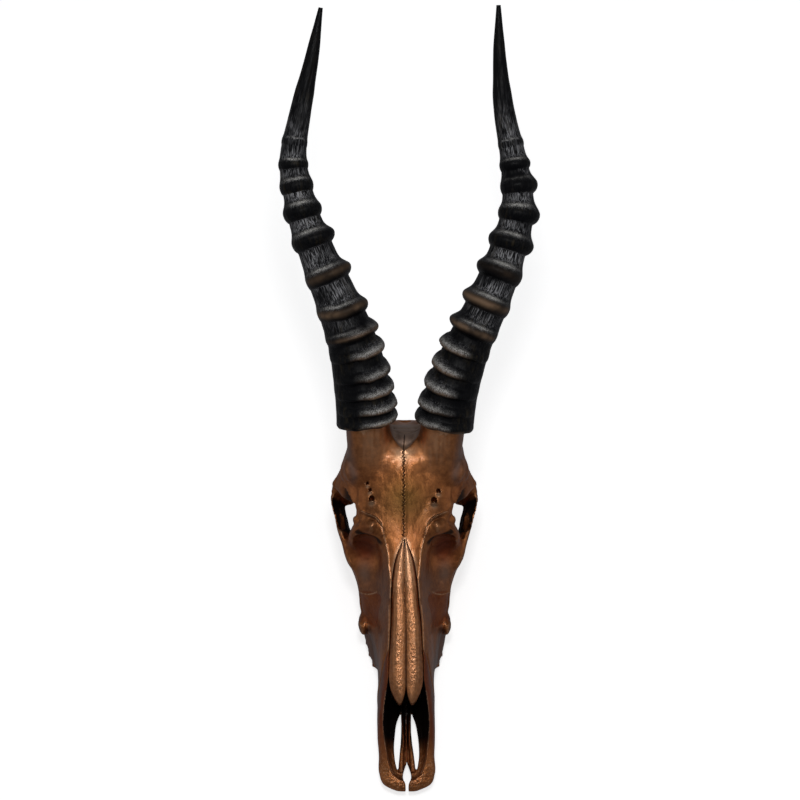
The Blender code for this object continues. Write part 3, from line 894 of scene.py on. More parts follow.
@dataclass(frozen=True)
class CopperPaint:
    """Metallic copper paint brushed over bone, dark in the seams, with painted shade and painted
    red reflections in the hollows, and painted highlights and sheens.
    """

    bright: Row = (0.52, 0.190, 0.060)
    # Pale copper for painted highlights, glints and painted brightening.
    light: Row = (0.78, 0.46, 0.27)
    deep: Row = (0.26, 0.083, 0.024)
    olive: Row = (0.23, 0.120, 0.024)
    # Dark red: painted shade with red reflections in the fossa, orbits and nose, and a red tint on
    # the cheek and the muzzle's tips.
    red_tint_and_bounce: Row = (0.20, 0.026, 0.009)
    # Grey for a painted sheen of grazing reflection on steep sides.
    painted_grey_sheen: Row = (0.165, 0.125, 0.115)
    # Pale grey for a painted grazing sheen on the crown behind the brow and a painted highlight on
    # the fossa's bulge.
    pale_sheen: Row = (0.38, 0.290, 0.240)
    # Near-black for the dark seams and for painted shade in hollows, the nose and the orbits.
    seam_and_shade_dark: Row = (0.012, 0.006, 0.004)

    def material(self, name: str) -> bpy.types.Material:
        """Builds the paint for one piece.

        Args:
            name: The material's name.

        Returns:
            The material.
        """
        shade = Shade(name, {"Metallic": 0.94, "Coat Weight": 0.16, "Coat Roughness": 0.20})
        spot = shade.places()
        cloud = shade.grain(spot, 38.0, 4.0, 0.6)
        mottle = shade.grain(spot, 260.0, 4.0, 0.65)
        brushed = shade.grain(shade.places((1.0, 0.16, 0.4)), 900.0, 3.0, 0.6)
        speck = shade.grain(spot, 1500.0, 2.0, 0.7)
        share = (0.55 * cloud + 0.45 * mottle).eased(0.32, 0.66)
        colour = shade.blend(self.deep, self.bright, share)
        # Olive is the paint's own tone; the red, grey and pale attributes mix in painted
        # reflections, sheens and highlights.
        for word, most in (("olive", 0.75), ("red_tint_and_bounce", 0.8), ("painted_grey_sheen", 0.8), ("pale_sheen", 0.85)):
            colour = shade.blend(colour, getattr(self, word), shade.attribute(word) * most)
        seam_and_shade = shade.attribute("seam_and_shade")
        glint = shade.attribute("glint")
        painted_brightening = shade.attribute("painted_brightening")
        colour = shade.blend(colour, self.light, glint * 0.7 + painted_brightening * 0.42)
        # Near-black for the seams and for painted shade, the forehead's painted shade included.
        dark = seam_and_shade.eased(0.25, 0.85).above(shade.attribute("painted_shade"))
        colour = shade.blend(colour, self.seam_and_shade_dark, dark)
        rough = 0.27 + 0.16 * mottle + 0.10 * cloud + 0.25 * seam_and_shade
        rough = rough + 0.12 * shade.attribute("pale_sheen") + 0.10 * painted_brightening - 0.06 * glint
        heights = ((mottle, 0.16), (brushed, 0.07), (speck, 0.05))
        return shade.finish(colour, rough, heights)


@dataclass(frozen=True)
class BlackHorn:
    """Black horn with fine fibres, worn brown along the crests of its ridges, with painted light in
    pale fibre streaks and painted sheens on its lit front.
    """

    black: Row = (0.0026, 0.0028, 0.0038)
    fibre: Row = (0.44, 0.44, 0.46)
    olive: Row = (0.040, 0.029, 0.011)
    shine: Row = (0.80, 0.78, 0.74)
    worn: Row = (0.260, 0.165, 0.100)

    def material(self, name: str) -> bpy.types.Material:
        """Builds the horn's finish, whose fibres follow the horn.

        Args:
            name: The material's name.

        Returns:
            The material.
        """
        shade = Shade(name, {"Specular IOR Level": 0.10})
        along = shade.attribute("fibres", vector=True)
        fine = shade.grain(along, 1.9, 2.0, 0.55)
        coarse = shade.grain(along, 0.36, 2.0, 0.6)
        patch = shade.grain(shade.places(), 45.0, 3.0, 0.6)
        # Pale fibre streaks show only where the front attribute is lit: painted light.
        streaks = fine.eased(0.49, 0.61) + coarse.eased(0.50, 0.70) * 0.3
        streaks = streaks * shade.attribute("front") * patch.eased(0.28, 0.60)
        shine = shade.attribute("sheen") * (0.25 + 0.75 * fine.eased(0.42, 0.62))
        crest = shade.attribute("crest") * (0.25 + 0.75 * patch.eased(0.36, 0.62))
        stain = coarse.eased(0.45, 0.75) * patch.eased(0.46, 0.62) * 0.6
        colour = shade.blend(self.black, self.olive, stain)
        colour = shade.blend(colour, self.fibre, streaks)
        colour = shade.blend(colour, self.shine, shine * patch.eased(0.24, 0.56))
        colour = shade.blend(colour, self.worn, crest)
        rough = 0.22 + 0.14 * patch + 0.10 * fine
        return shade.finish(colour, rough, ((fine, 0.20), (coarse, 0.30), (patch, 0.12)))


@dataclass(frozen=True)
class Paper:
    """The pale floor of the studio."""

    camera_tone: Row = (0.93, 0.93, 0.93)
    mirror_tone: Row = (0.50, 0.50, 0.52)
    lift: Row = (0.70, 0.70, 0.70)

    def material(self) -> bpy.types.Material:
        """Builds a floor that is pale to look at and dimmer in the paint's reflections.

        Returns:
            The material.
        """
        constants = {"Roughness": 0.9, "Specular IOR Level": 0.0, "Emission Strength": 1.0}
        shade = Shade("studio_paper", constants)
        seen = shade.node("ShaderNodeLightPath")
        colour = shade.blend(self.mirror_tone, self.camera_tone, seen)
        glow = shade.blend((0.0, 0.0, 0.0), self.lift, seen)
        shade.feed(shade.surface.inputs["Base Color"], colour)
        shade.feed(shade.surface.inputs["Emission Color"], glow)
        return shade.material


@dataclass
class Skull:
    """The fused bone: face, brow, orbits and braincase, with the muzzle bones in front.

    Attributes:
        sections: The main mass: place, half widths and levels, from the crown down.
        broad_bars: Bars that melt softly into it: line and sizes.
        slender_bars: Bars that keep their shape.
        broad_masses: Rounded masses that melt softly: middle and half sizes.
        slender_masses: Rounded masses that keep their shape.
        hollows: Rounded cutters: middle, half sizes and lean.
        flange: The orbit's roof: across, back and front edge, thickness.
        cavity: The nasal cavity: place, half width, floor and roof.
        choanae: The openings behind the palate, in the same order.
        fissure: A palatine fissure: inner edge, outer edge and place.
        foramina: Nerve holes above the orbits: across, along and radius.
    """

    paint: CopperPaint = field(default_factory=CopperPaint)
    sections: tuple[tuple, ...] = (
        (1, (0, 3, 5, 7, 8, 8, 6.5, 4, 0), (12, 12, 12, 11.5, 10.5, 9, 7.5, 7, 7)),
        (5, (0, 6, 11, 15, 17, 17, 15, 8, 0), (14, 14, 13.5, 12.5, 11, 9, 7, 6, 6)),
        (14, (0, 8, 15, 20, 21.8, 21.8, 20, 12, 0), (17, 17, 16.5, 14.5, 12, 9.5, 7, 6, 6)),
        (30, (0, 8, 14, 19.5, 21.8, 22.1, 20.5, 13, 0), (26, 26, 25, 21, 17, 13, 9, 7, 7)),
        (45, (0, 9, 15, 20.5, 22.7, 22.7, 21, 13, 0), (34, 34, 32.5, 28, 22, 16, 11, 8, 8)),
        (60, (0, 9, 15, 19.7, 22.2, 22.8, 21.5, 14, 0), (44, 44, 42, 37, 30, 23, 15, 9, 10)),
        (75, (0, 10, 15, 19.2, 21.8, 22.7, 21.5, 14, 0), (55, 54.5, 50.5, 43, 35, 28, 17, 10, 11)),
        (88, (0, 10, 15, 19, 21, 22, 21.5, 15, 0), (62, 61.5, 57, 48, 39, 31, 19, 11, 12)),
        (108, (0, 11, 15.5, 19, 22, 24, 24, 20, 0), (71, 70, 64, 54, 43, 33, 20, 12, 14)),
        (128, (0, 11, 15, 19, 23, 27, 27.5, 24, 0), (80, 79, 71, 59, 46, 35, 22, 13, 16)),
        (148, (0, 10.5, 15, 20, 27.5, 34.4, 34.8, 28, 0), (88, 86.6, 79, 65, 54, 41, 26, 14, 18)),
        (166, (0, 12, 16.5, 22, 31, 37.4, 37, 29, 0), (94.9, 93, 85, 69, 60, 50, 34, 15, 19)),
        (176, (0, 15, 20, 23, 33, 41.3, 40, 29, 0), (98.1, 96, 88, 73, 65, 54, 38, 16, 20)),
        (186, (0, 19, 26, 26, 36.5, 46, 43, 28, 0), (101.6, 99.8, 93.5, 77, 67, 58, 43, 20, 21)),
        (199, (0, 24, 36, 31, 25, 23, 22, 18, 0), (107.8, 105, 100, 86, 71, 56, 44, 30, 28)),
        (217, (0, 24, 38, 33, 24, 20, 17, 13, 0), (117.4, 112, 105, 92, 76, 60, 48, 37, 33)),
        (234, (0, 24, 42, 52.1, 32, 26, 20, 14, 0), (123.9, 118, 110.5, 98.5, 82, 64, 48, 38, 34)),
        (248, (0, 20, 39.5, 48.8, 40, 33, 25, 15, 0), (126.6, 122.6, 116, 105, 88, 66, 48, 37, 34)),
        (260, (0, 18, 36.5, 46, 40, 35, 27, 16, 0), (123.2, 121.4, 116, 103, 88, 66, 48, 36, 33)),
        (272, (0, 14, 27, 35, 38, 36, 28, 16, 0), (114, 112.4, 107, 96, 82, 66, 48, 36, 32)),
        (285, (0, 14, 26, 33, 36, 33, 26, 14, 0), (95, 94, 89, 81, 70, 58, 46, 35, 31)),
        (296, (0, 10, 18, 23, 24, 21, 16, 10, 0), (76, 75, 72, 66, 58, 50, 42, 35, 32)),
    )
    broad_bars: dict = field(
        default_factory=lambda: {
            "cheek_ridge": (
                ((27.5, 134, 30), (30, 146, 29), (31, 163, 40), (37, 178, 52), (44.5, 190, 59)),
                ((3, 5, 0), (4, 6, 0), (5, 8, 0), (5, 9, 5), (5, 9, 15)),
            ),
            "pedicle": (
                ((26, 232, 98), (27, 246, 111), (29, 259, 124), (31.5, 275, 141)),
                ((17, 18, 0), (18.6, 18, 0), (18.1, 18, 0), (17.4, 17.5, 0)),
            ),
            "lacrimal_flange": (
                ((22, 188, 98), (30, 192, 94), (35, 195, 88), (38, 194, 77), (41, 191, 64)),
                ((7, 7, 0), (6, 6, 0), (5.5, 6, 0), (5.5, 6, 0), (6, 7, 0)),
            ),
            "tooth_border": (
                (
                    (16.5, 103, 13), (21.3, 111, 13), (24.0, 122, 14),
                    (26.2, 136, 15), (27.9, 160, 16), (27.5, 190, 20),
                ),
                ((4.5, 6, 0), (5.5, 6, 0), (6.5, 7, 0), (7.4, 7, 0), (8.2, 7, 0), (8, 8, 0)),
            ),
        }
    )
    slender_bars: dict = field(
        default_factory=lambda: {
            "zygomatic": (
                (
                    (36.8, 172, 50), (43.0, 182, 54), (46.0, 195, 57),
                    (49.2, 210, 58), (53.2, 224, 61), (54, 236, 66),
                ),
                ((2, 4, 0), (3.5, 8, 10), (3.6, 10, 20), (3.9, 11, 27), (3, 11, 30), (3, 10, 25)),
            ),
            "zygomatic_arch": (
                ((53, 230, 63), (52, 243, 68), (47, 256, 70), (38, 268, 70), (30, 274, 70)),
                ((3, 6, 10), (3, 5, 10), (3, 4, 0), (4, 4, 0), (6, 5, 0)),
            ),
            "postorbital_bar": (
                (
                    (50, 231, 57), (50.3, 234, 68), (49.2, 235.5, 78),
                    (46.5, 237, 90), (42, 238, 103),
                ),
                ((9.5, 3, 0), (10, 3, 0), (9.5, 3, 0), (7.5, 3.5, 0), (7, 6, 0)),
            ),
            "orbit_roof": (
                ((42, 236, 102), (40, 226, 102), (37, 216, 100), (34.5, 205, 97), (34.5, 197, 90)),
                ((5, 4, 0), (4, 3, 0), (4, 3, 0), (4, 4, 0), (4, 5, 0)),
            ),
            "pterygoid": (
                ((11, 186, 26), (12, 198, 26), (13, 212, 30), (14, 226, 38)),
                ((2.5, 9, 0), (2.2, 10, 0), (2.2, 10, 0), (3, 7, 0)),
            ),
            "paracondylar": (
                ((25, 285, 52), (27.5, 286, 34), (28.5, 284, 17), (27, 281, -3)),
                ((4, 9, 0), (3.5, 8, 0), (3, 6, 0), (2.5, 4, 0)),
            ),
            "ear_tube": (
                ((22, 264, 46), (32, 265, 49), (40, 266, 52)),
                ((6, 6, 0), (5, 5, 0), (4.5, 4.5, 0)),
            ),
            "nuchal_crest": (
                ((0, 290, 85), (14, 290, 83), (26, 287, 75), (32, 283, 63), (33, 278, 52)),
                ((3, 3.5, 0), (3, 3.5, 0), (3, 3.5, 0), (3, 3.5, 0), (4, 4, 0)),
            ),
        }
    )
    broad_masses: dict = field(
        default_factory=lambda: {
            "braincase": ((14, 262, 84), (25, 28, 31)),
            "lacrimal_wall": ((31, 190, 75), (14, 9, 22)),
            "brow": ((28, 238, 105.5), (21.5, 20, 12.5)),
            "brow_web": ((8, 242.5, 112), (19, 18, 13.5)),
        }
    )
    slender_masses: dict = field(
        default_factory=lambda: {
            "bulla": ((19, 255, 36), (9, 13, 13)),
            "condyle": ((13, 294, 44), (8, 8, 11)),
            "facial_tubercle": ((32.9, 138.5, 27), (4.2, 10, 8)),
            "lacrimal_knob": ((37.5, 199, 91), (4, 4, 4)),
            "lacrimal_knob_low": ((39, 193, 84), (3, 3, 4)),
            "lacrimal_knob_inner": ((32.5, 199, 98), (4, 3, 3)),
        }
    )
    base_line: Path = ((0, 205, 36), (0, 230, 38), (0, 260, 36), (0, 284, 38), (0, 294, 40))
    base_sizes: Path = ((8, 6, 0), (9, 6, 0), (12, 6, 0), (14, 7, 0), (12, 6, 0))
    hollows: dict = field(
        default_factory=lambda: {
            "orbit": ((44, 215, 80), (22, 19.5, 19.5), 24),
            "orbit_depth": ((35, 216, 66), (13, 15, 24), 0),
            "fossa": ((36, 174, 78), (13, 12, 13), 0),
            "fossa_roof": ((33, 180, 86), (12.5, 7.5, 9), 20),
            "cheek_hollow": ((40, 146, 68), (15, 26, 20), 0),
        }
    )
    flange: Path = (
        (38, 208, 98.5, 246, 117, 2.0), (42, 210.5, 97, 251, 112, 2.0),
        (45.5, 214, 94.8, 252, 107, 1.9), (49.5, 219, 91.5, 247, 99.5, 1.8),
        (53.6, 227, 87, 242, 89.5, 1.7), (57.9, 234.6, 81.2, 238.4, 80.8, 1.4),
    )
    cavity: Path = (
        (8, 5, 13, 22), (11, 10.5, 12, 28), (18, 14.3, 11.3, 38), (26, 16.2, 11.3, 46),
        (36, 17.4, 12, 54), (50, 17.8, 12.5, 62), (60, 17.0, 13.2, 68), (69, 15.4, 13.8, 70),
        (77, 13.8, 14.5, 68), (90, 12.2, 17, 64), (106, 9, 24, 58), (118, 4, 34, 48),
    )
    choanae: Path = ((184, 4, 22, 30), (196, 8, 12, 33), (212, 9, 10, 34), (224, 7, 10, 32))
    fissure: Path = (
        (6.8, 7.8, 18.5), (6.1, 9.2, 26), (4.7, 9.9, 37.5), (4.0, 8.9, 49), (3.7, 7.0, 60),
        (2.9, 4.0, 67),
    )
    muzzle_notch: Path = (
        (0.3, 25), (1.5, 22), (3.1, 16.5), (3.3, 12),
        (2.4, 8.5), (1.2, 5.5), (1.2, -4),
    )
    cheek: Path = ((139, 31), (129, 39), (133, 54), (142, 65), (150, 60), (157, 46), (150, 36))
    process: tuple[Path, Path] = (
        ((4.8, 16, 11), (4.3, 24, 12.5), (3.3, 38, 13.5), (2.6, 52, 14), (2.4, 68, 14.5)),
        ((2.2, 3.0, 0), (2.0, 3.0, 0), (1.5, 2.8, 0), (1.1, 2.6, 0), (0.9, 2.4, 0)),
    )
    muzzle_joint: Path = (
        (62, -20), (65, 10), (69, 24), (76, 36),
        (86, 48), (95, 57), (99, 64), (101, 120),
    )
    foramina: Path = (
        (-25.9, 208.6, 2.0), (-27.2, 215.2, 1.3), (-29.3, 220.2, 1.1), (23.5, 207.2, 2.1),
        (27.0, 214.6, 1.6),
    )
    rim: Path = ((11.0, 14), (13.4, 20), (16.6, 35), (17.9, 50), (17.2, 60), (15.4, 70))
    joint_gap: float = 0.2
    floor_level: float = 0.02
    most_triangles: int = 190000

    def body(self) -> bpy.types.Object:
        """Pulls the main mass through its cross sections.

        Returns:
            The main mass.
        """
        places = [section[0] for section in self.sections]
        halves = np.array([np.transpose(section[1:]) for section in self.sections], float)
        stations = np.append(np.arange(places[0], places[-1] - 1, 3.0), places[-1])
        corners = np.arange(halves.shape[1])
        fine = np.linspace(0, corners[-1], 33)
        rings = []
        for place, section in zip(stations, curve(places, halves, stations)):
            half = curve(corners, section, fine)
            right = [(max(x, 0.0), place, z) for x, z in half]
            left = [(-x, place, z) for x, _, z in right[-2:0:-1]]
            rings.append(np.array(right + left))
        return Bench.drawn("body", rings)

    def chamber(self, name: str, rows: Path) -> bpy.types.Object:
        """A cutter with upright rounded sections.

        Args:
            name: The cutter's name.
            rows: Place, half width, floor and roof of each section.

        Returns:
            The cutter.
        """
        place, *rest = np.array(rows, float).T
        fine = np.linspace(place[0], place[-1], 24)
        turns = round_turns(28)
        across = np.copysign(np.abs(np.cos(turns)) ** 0.7, np.cos(turns))
        above = np.copysign(np.abs(np.sin(turns)) ** 0.7, np.sin(turns))
        rings = []
        for station, (wide, floor, roof) in zip(fine, curve(place, np.stack(rest, axis=1), fine)):
            levels = (floor + roof) / 2 + (roof - floor) / 2 * above
            rings.append(np.stack((wide * across, np.full(28, station), levels), axis=1))
        return Bench.drawn(name, rings)

    def plate(self, name: str, rim: list[Row], high: float) -> bpy.types.Object:
        """An upright cutter with an outline that is seen from above."""
        return Bench.drawn(name, [np.array([(x, y, z) for x, y in rim]) for z in (-5, high)])

    def fissure_rim(self, side: int) -> list[Row]:
        """Draws the outline of one palatine fissure.

        Args:
            side: -1 for the viewer's left, 1 for the right.

        Returns:
            The outline's points, seen from above.
        """
        inner, outer, place = np.array(self.fissure, float).T
        fine = np.linspace(place[0], place[-1], 19)
        within = [(side * x, y) for x, y in zip(curve(place, inner, fine), fine)]
        without = [(side * x, y) for x, y in zip(curve(place, outer, fine), fine)]
        return within + without[::-1]

    @staticmethod
    def shaped(bars: dict, masses: dict) -> list[bpy.types.Object]:
        """Makes the bars and the rounded masses of two lists."""
        made = [Bench.bar(name, *shape) for name, shape in bars.items()]
        return made + [Bench.ball(name, *shape) for name, shape in masses.items()]

    def cutters(self) -> list[bpy.types.Object]:
        """Makes everything that is cut out of the bone.

        Returns:
            The cutters.
        """
        made = []
        for _, side in SIDES:
            for name, ((x, y, z), halves, lean) in self.hollows.items():
                made.append(Bench.ball(name, (side * x, y, z), halves, side * lean))
            made.append(self.plate("fissure", self.fissure_rim(side), 30))
        notch = [*self.muzzle_notch, *((-x, y) for x, y in self.muzzle_notch[::-1])]
        made.append(self.plate("muzzle_notch", notch, 40))
        made.append(self.chamber("nasal_cavity", self.cavity))
        made.append(self.chamber("choanae", self.choanae))
        made.append(Bench.drum("foramen_magnum", Vector((0, 306, 54)), Vector((0, 1, -0.2)), 9, 44))
        made.append(Bench.block("floor", (-90, -20, -40), (90, 400, self.floor_level)))
        return made

    def fused(self) -> bpy.types.Object:
        """Melts the broad masses, adds the slender ones and cuts the hollows.

        Returns:
            The bone of skull and muzzle in one.
        """
        broad = self.shaped(self.broad_bars, self.broad_masses)
        bone = Bench.join("bone", [self.body(), Bench.mirrored("broad", broad)])
        Bench.melt(bone, voxel=1.5, rounds=16)
        slender = self.shaped(self.slender_bars, self.slender_masses)
        base = Bench.bar("skull_base", self.base_line, self.base_sizes)
        bone = Bench.join("bone", [bone, base, Bench.mirrored("slender", slender)])
        Bench.melt(bone, voxel=1.1, rounds=0)
        Bench.cut(bone, self.cutters())
        added = [Bench.bar("process", *self.process), self.orbit_flange()]
        Bench.cut(bone, [Bench.mirrored("added", added)], "UNION")
        return bone

    def orbit_flange(self) -> bpy.types.Object:
        """Draws the brow's thin shelf over one orbit, which ends in the orbit's rim.

        Returns:
            The shelf of the right side.
        """
        place, *rest = np.array(self.flange, float).T
        fine = np.linspace(place[0], place[-1], 16)
        turns = round_turns(24)
        rings = []
        for x, (y0, z0, y1, z1, thick) in zip(fine, curve(place, np.stack(rest, axis=1), fine)):
            middle = np.array((x, (y0 + y1) / 2, (z0 + z1) / 2))
            half = np.array((0, (y1 - y0) / 2, (z1 - z0) / 2))
            rise = np.array((0.4, -0.2, 0.9)) * thick
            rings.append(middle + np.cos(turns)[:, None] * half + np.sin(turns)[:, None] * rise)
        return Bench.drawn("orbit_flange", rings)

    def muzzle_room(self, shift: float) -> bpy.types.Object:
        """Fills the space in front of the joint between the muzzle bones and the face.

        Args:
            shift: How far the space reaches past the joint.

        Returns:
            The space as a cutter.
        """
        back = [(y + shift, z) for y, z in self.muzzle_joint]
        outline = [(-30, -20), *back, (-30, 120)]
        rings = [np.array([(x, y, z) for y, z in outline]) for x in (-60, 60)]
        return Bench.drawn("muzzle_room", rings)

    def strokes(self) -> tuple[Stroke, ...]:
        """Lists everything that is raised or sunk in the skull's face and brow.

        Returns:
            The strokes in the order of the work.
        """
        top, flank = Side.TOP, Side.FLANK
        edge = ((35, 200.5), (30, 197.5), (24, 194.5), (19.5, 189.5), (17, 182))
        ditch = ((34, 198.5), (29, 195.3), (23, 192), (18.2, 187.4), (15.8, 180))
        wall = ((17, 182), (15, 176), (13.7, 169.7), (12.9, 159.2), (11.8, 149.3))
        return (
            Stroke(top, ((0, 236), (0, 160)), 1.6, 0.4),
            Stroke(top, ((0, 240), (0, 239)), 6.0, 0.35),
            Stroke(top, ((11.5, 272), (11, 262), (8.8, 253), (5.4, 247), (1, 242.5)), 1.6, 0.7),
            Stroke(top, ((9, 268), (8, 258), (5.5, 251), (0, 247)), 3.0, -1.0),
            Stroke(top, ((0, 274), (0, 262), (0, 252)), 5.5, -0.5),
            Stroke(top, ((0, 259), (5, 260.5), (10, 265)), 0.9, -0.45),
            Stroke(top, ((0, 266), (6, 267), (12, 270)), 1.1, -0.5),
            Stroke(top, ((13, 196), (20, 206), (25, 211), (28, 219)), 3.6, -0.2),
            Stroke(top, ((38, 206), (44, 222), (46, 240)), 2.4, 1.0),
            Stroke(top, ((40, 252), (37, 240), (33, 228)), 4.0, 0.8),
            Stroke(top, edge, 1.1, 0.7),
            Stroke(top, ditch, 0.9, -0.7),
            Stroke(top, wall, 1.2, 0.6),
            Stroke(flank, ((186, 66), (176, 58), (166, 52), (157, 46), (150, 52)), 2.0, 0.7),
            Stroke(flank, ((168, 66), (172, 60)), 6.5, 1.6),
            Stroke(flank, ((160, 60), (168, 72), (176, 80)), 5.0, -1.2),
            Stroke(flank, ((104, 20), (120, 27), (136, 31)), 2.5, 0.8),
            Stroke(flank, ((100, 34), (116, 42), (134, 44)), 7.0, -1.2),
            Stroke(flank, ((70, 30), (84, 44), (97, 58)), 1.1, -0.6),
            Stroke(flank, ((236, 70), (246, 84), (252, 100)), 6.0, -1.2),
            Stroke(flank, ((262, 62), (270, 78), (280, 84), (290, 76)), 1.0, -0.5),
            Stroke(flank, ((255, 74), (264, 66), (276, 66)), 3.5, -1.0),
        )

    def seams(self) -> tuple[Stroke, ...]:
        """Lists the fine seams between the bones, which are sunk and darkened.

        Returns:
            The seams, the midline's zigzag first.
        """
        top, flank, back = Side.TOP, Side.FLANK, Side.BACK
        swing = [(0.75 + 0.3 * math.sin(2.3 * n)) * (-1) ** n for n in range(49)]
        place = [242.0 - 1.3 * n + 0.3 * math.sin(1.7 * n) for n in range(49)]
        zigzag = tuple((x - 0.6, y) for x, y in zip(swing, place))
        return (
            Stroke(top, zigzag, 0.34, -0.6, half=1),
            Stroke(top, ((-0.6, 258), (-0.6, 242)), 0.5, -0.35, half=1),
            Stroke(flank, ((192, 64), (184, 60), (174, 50), (160, 44), (150, 36)), 0.5, -0.5),
            Stroke(flank, ((231, 84), (238, 90)), 0.6, -0.5),
            Stroke(flank, ((243, 63), (247, 70), (251, 74)), 0.6, -0.6),
            Stroke(flank, ((248, 92), (258, 90), (270, 92), (282, 88)), 0.5, -0.5),
            Stroke(back, ((0, 78), (8, 76), (16, 70), (22, 60)), 0.6, -0.5),
        )

    def glints(self) -> tuple[Stroke, ...]:
        """Lists the fine raised lines that catch the light.

        Returns:
            The lines.
        """
        top, flank = Side.TOP, Side.FLANK
        edge = ((34, 200), (28.6, 197), (22.8, 194), (18.6, 189.4), (16.4, 182))
        fold = ((16.4, 182), (14.6, 175), (13, 168), (12.2, 158), (11.2, 149), (11.8, 135))
        return (
            Stroke(top, edge, 0.5, 0.45),
            Stroke(top, fold, 0.45, 0.35),
            Stroke(top, ((12.9, 130), (13.6, 115), (14, 101), (14.6, 90)), 0.45, 0.40),
            Stroke(top, ((14.2, 78), (14.0, 86), (14.0, 94)), 0.45, 0.40),
            Stroke(flank, ((158, 44), (151.5, 53), (149, 62)), 0.5, 0.35),
        )

    def refine(self, bone: bpy.types.Object) -> None:
        """Divides the faces near fine lines, so that the lines come out sharp.

        Args:
            bone: The piece to divide.
        """
        relief = Relief(bone)
        weight = relief.shade_of(self.seams() + self.glints())
        for across, along, radius in self.foramina:
            gap = np.hypot(relief.at[:, 0] - across, relief.at[:, 1] - along)
            weight = strongest(weight, (gap < radius + 1.2) & (relief.out[:, 2] > 0.3))
        mesh = bone.data
        counts = np.empty(len(mesh.polygons), np.int32)
        mesh.polygons.foreach_get("loop_total", counts)
        corners = np.empty(len(mesh.loops), np.int32)
        mesh.loops.foreach_get("vertex_index", corners)
        owner = np.repeat(np.arange(len(counts)), counts)
        chosen = np.bincount(owner, (weight > 0.02)[corners], len(counts)) > 0
        with Bench.editing(bone, chosen, "FACE"):
            bpy.ops.mesh.subdivide(number_cuts=2)

    def ease_brow(self, bone: bpy.types.Object) -> None:
        """Smooths the brow where its masses meet.

        Args:
            bone: The skull.
        """
        relief = Relief(bone)
        across, along, level = relief.axes()
        chosen = (across < 36) & (along > 205) & (along < 255) & (level > 96)
        with Bench.editing(bone, chosen & (relief.out[:, 2] > 0.4)):
            bpy.ops.mesh.vertices_smooth(factor=0.5, repeat=60)

    def roughen(self, relief: Relief) -> None:
        """Gives living bone its unevenness: soft waves, fibres and pores.

        Args:
            relief: The skull's points.
        """
        at, up = relief.at, relief.out[:, 2]
        wave = 0.30 * noise(at / (13, 17, 13), 1) + 0.12 * noise(at / 4.6, 2)
        fibre = 0.07 * noise(at / (1.1, 5.0, 1.6), 3)
        relief.push(wave + fibre)
        axes = across, along, level = relief.axes()
        angle = np.arctan2(along - 206, across - 30)
        comb = noise(np.stack((angle * 26, across * 0.1, level * 0.1), axis=1), 4)
        relief.push(0.45 * spot(axes, (46, 226, 102), (6, 14, 9)) * comb)
        relief.push(0.8 * spot(axes, (33, 197, 97), (8, 6, 9)) * noise(at / 2.6, 5))
        relief.push(0.35 * smooth(along, 278, 8) * smooth(up, 0.9, -1) * noise(at / 2.2, 6))
        pores = np.clip(noise(at / 1.5, 7) - 0.55, 0, 1) * smooth(up, 0.1, 0.5)
        relief.push(-0.30 * pores * (0.3 + 0.7 * smooth(noise(at / 16, 8), -0.2, 0.5)))

    def drill_foramina(self, relief: Relief) -> None:
        """Sinks the nerve holes, each with a raised lip towards the nose.

        Args:
            relief: The skull's points.
        """
        for across, along, radius in self.foramina:
            shift = np.stack((relief.at[:, 0] - across, relief.at[:, 1] - along))
            up = relief.out[:, 2] > 0.2
            hole = smooth(1.25 - np.hypot(*shift) / radius) * up
            lip = spot(shift, (0, -1.45 * radius), (radius, 0.55 * radius))
            relief.at[:, 1] += 1.1 * radius * hole
            relief.at[:, 2] -= 3.4 * radius * hole
            relief.at[:, 2] += 0.85 * radius * lip * up

    def nasal_share(self, relief: Relief, along: np.ndarray, level: np.ndarray) -> np.ndarray:
        """Marks the points of the nasal cavity.

        Args:
            relief: The piece's points.
            along: Their places along the skull.
            level: Their heights.

        Returns:
            True where a point lies in the cavity or above it.
        """
        place, wide, floor, _ = np.array(self.cavity).T
        inside = np.abs(relief.at[:, 0]) < np.interp(along, place, wide) + 0.6
        return inside & (level > np.interp(along, place, floor) - 0.8)

    def paint_seams_and_shade(self, relief: Relief) -> None:
        """Stores where the paint is dark: the seams, and painted shade in the nerve holes, hollows,
        nose, orbits, under the lacrimal ledge and on the inner side of the orbit rim.

        Args:
            relief: The skull's points.
        """
        axes = across, along, level = relief.axes()
        out = relief.out
        seams = [0.85 * relief.shade_of(self.seams())]
        # Painted shade in the nerve holes.
        for x, y, radius in self.foramina:
            gap = np.hypot(relief.at[:, 0] - x, along - y) / radius
            seams.append(0.9 * smooth(1.35 - gap) * (out[:, 2] > 0))
        # Painted shade in hollows.
        seams.append(0.75 * smooth(relief.hollow(6), 0.10, 0.35))
        # Painted shade inside the nose, deeper towards the back.
        nose = self.nasal_share(relief, along, level) * (level < 60)
        seams.append(nose * smooth(along, 34, 34))
        # Painted shade inside the orbit.
        gap = ((across - 44) / 23) ** 2 + ((along - 215) / 20.5) ** 2 + ((level - 80) / 20.5) ** 2
        seams.append(0.75 * smooth(gap, 1.02, -0.06) * smooth(across, 54, -9))
        # Painted shadow on the fossa's wall under the lacrimal ledge, and a spot of painted shade
        # deep in the fossa.
        wall = smooth(along, 172, 6) * smooth(along, 194, -3) * smooth(across, 44, -3)
        wall = wall * smooth(out[:, 1], -0.1, -0.3)
        seams.append(0.75 * wall * smooth(level, 88, 4) * smooth(level, 96.5, -3))
        seams.append(0.45 * wall * smooth(level, 62, 10) * smooth(level, 97, -3))
        seams.append(0.95 * spot(axes, (40.5, 191, 69), (4, 7, 11)))
        # Painted shade on the inner side of the orbit's rim.
        rim = smooth(along, 196, 8) * smooth(along, 232, -5) * smooth(level, 90, -6)
        inwards = smooth(out[:, 0] * np.sign(relief.at[:, 0]), -0.05, -0.3)
        seams.append(0.85 * rim * inwards * smooth(across, 40, 4) * (level > 45))
        relief.paint("seam_and_shade", strongest(*seams))

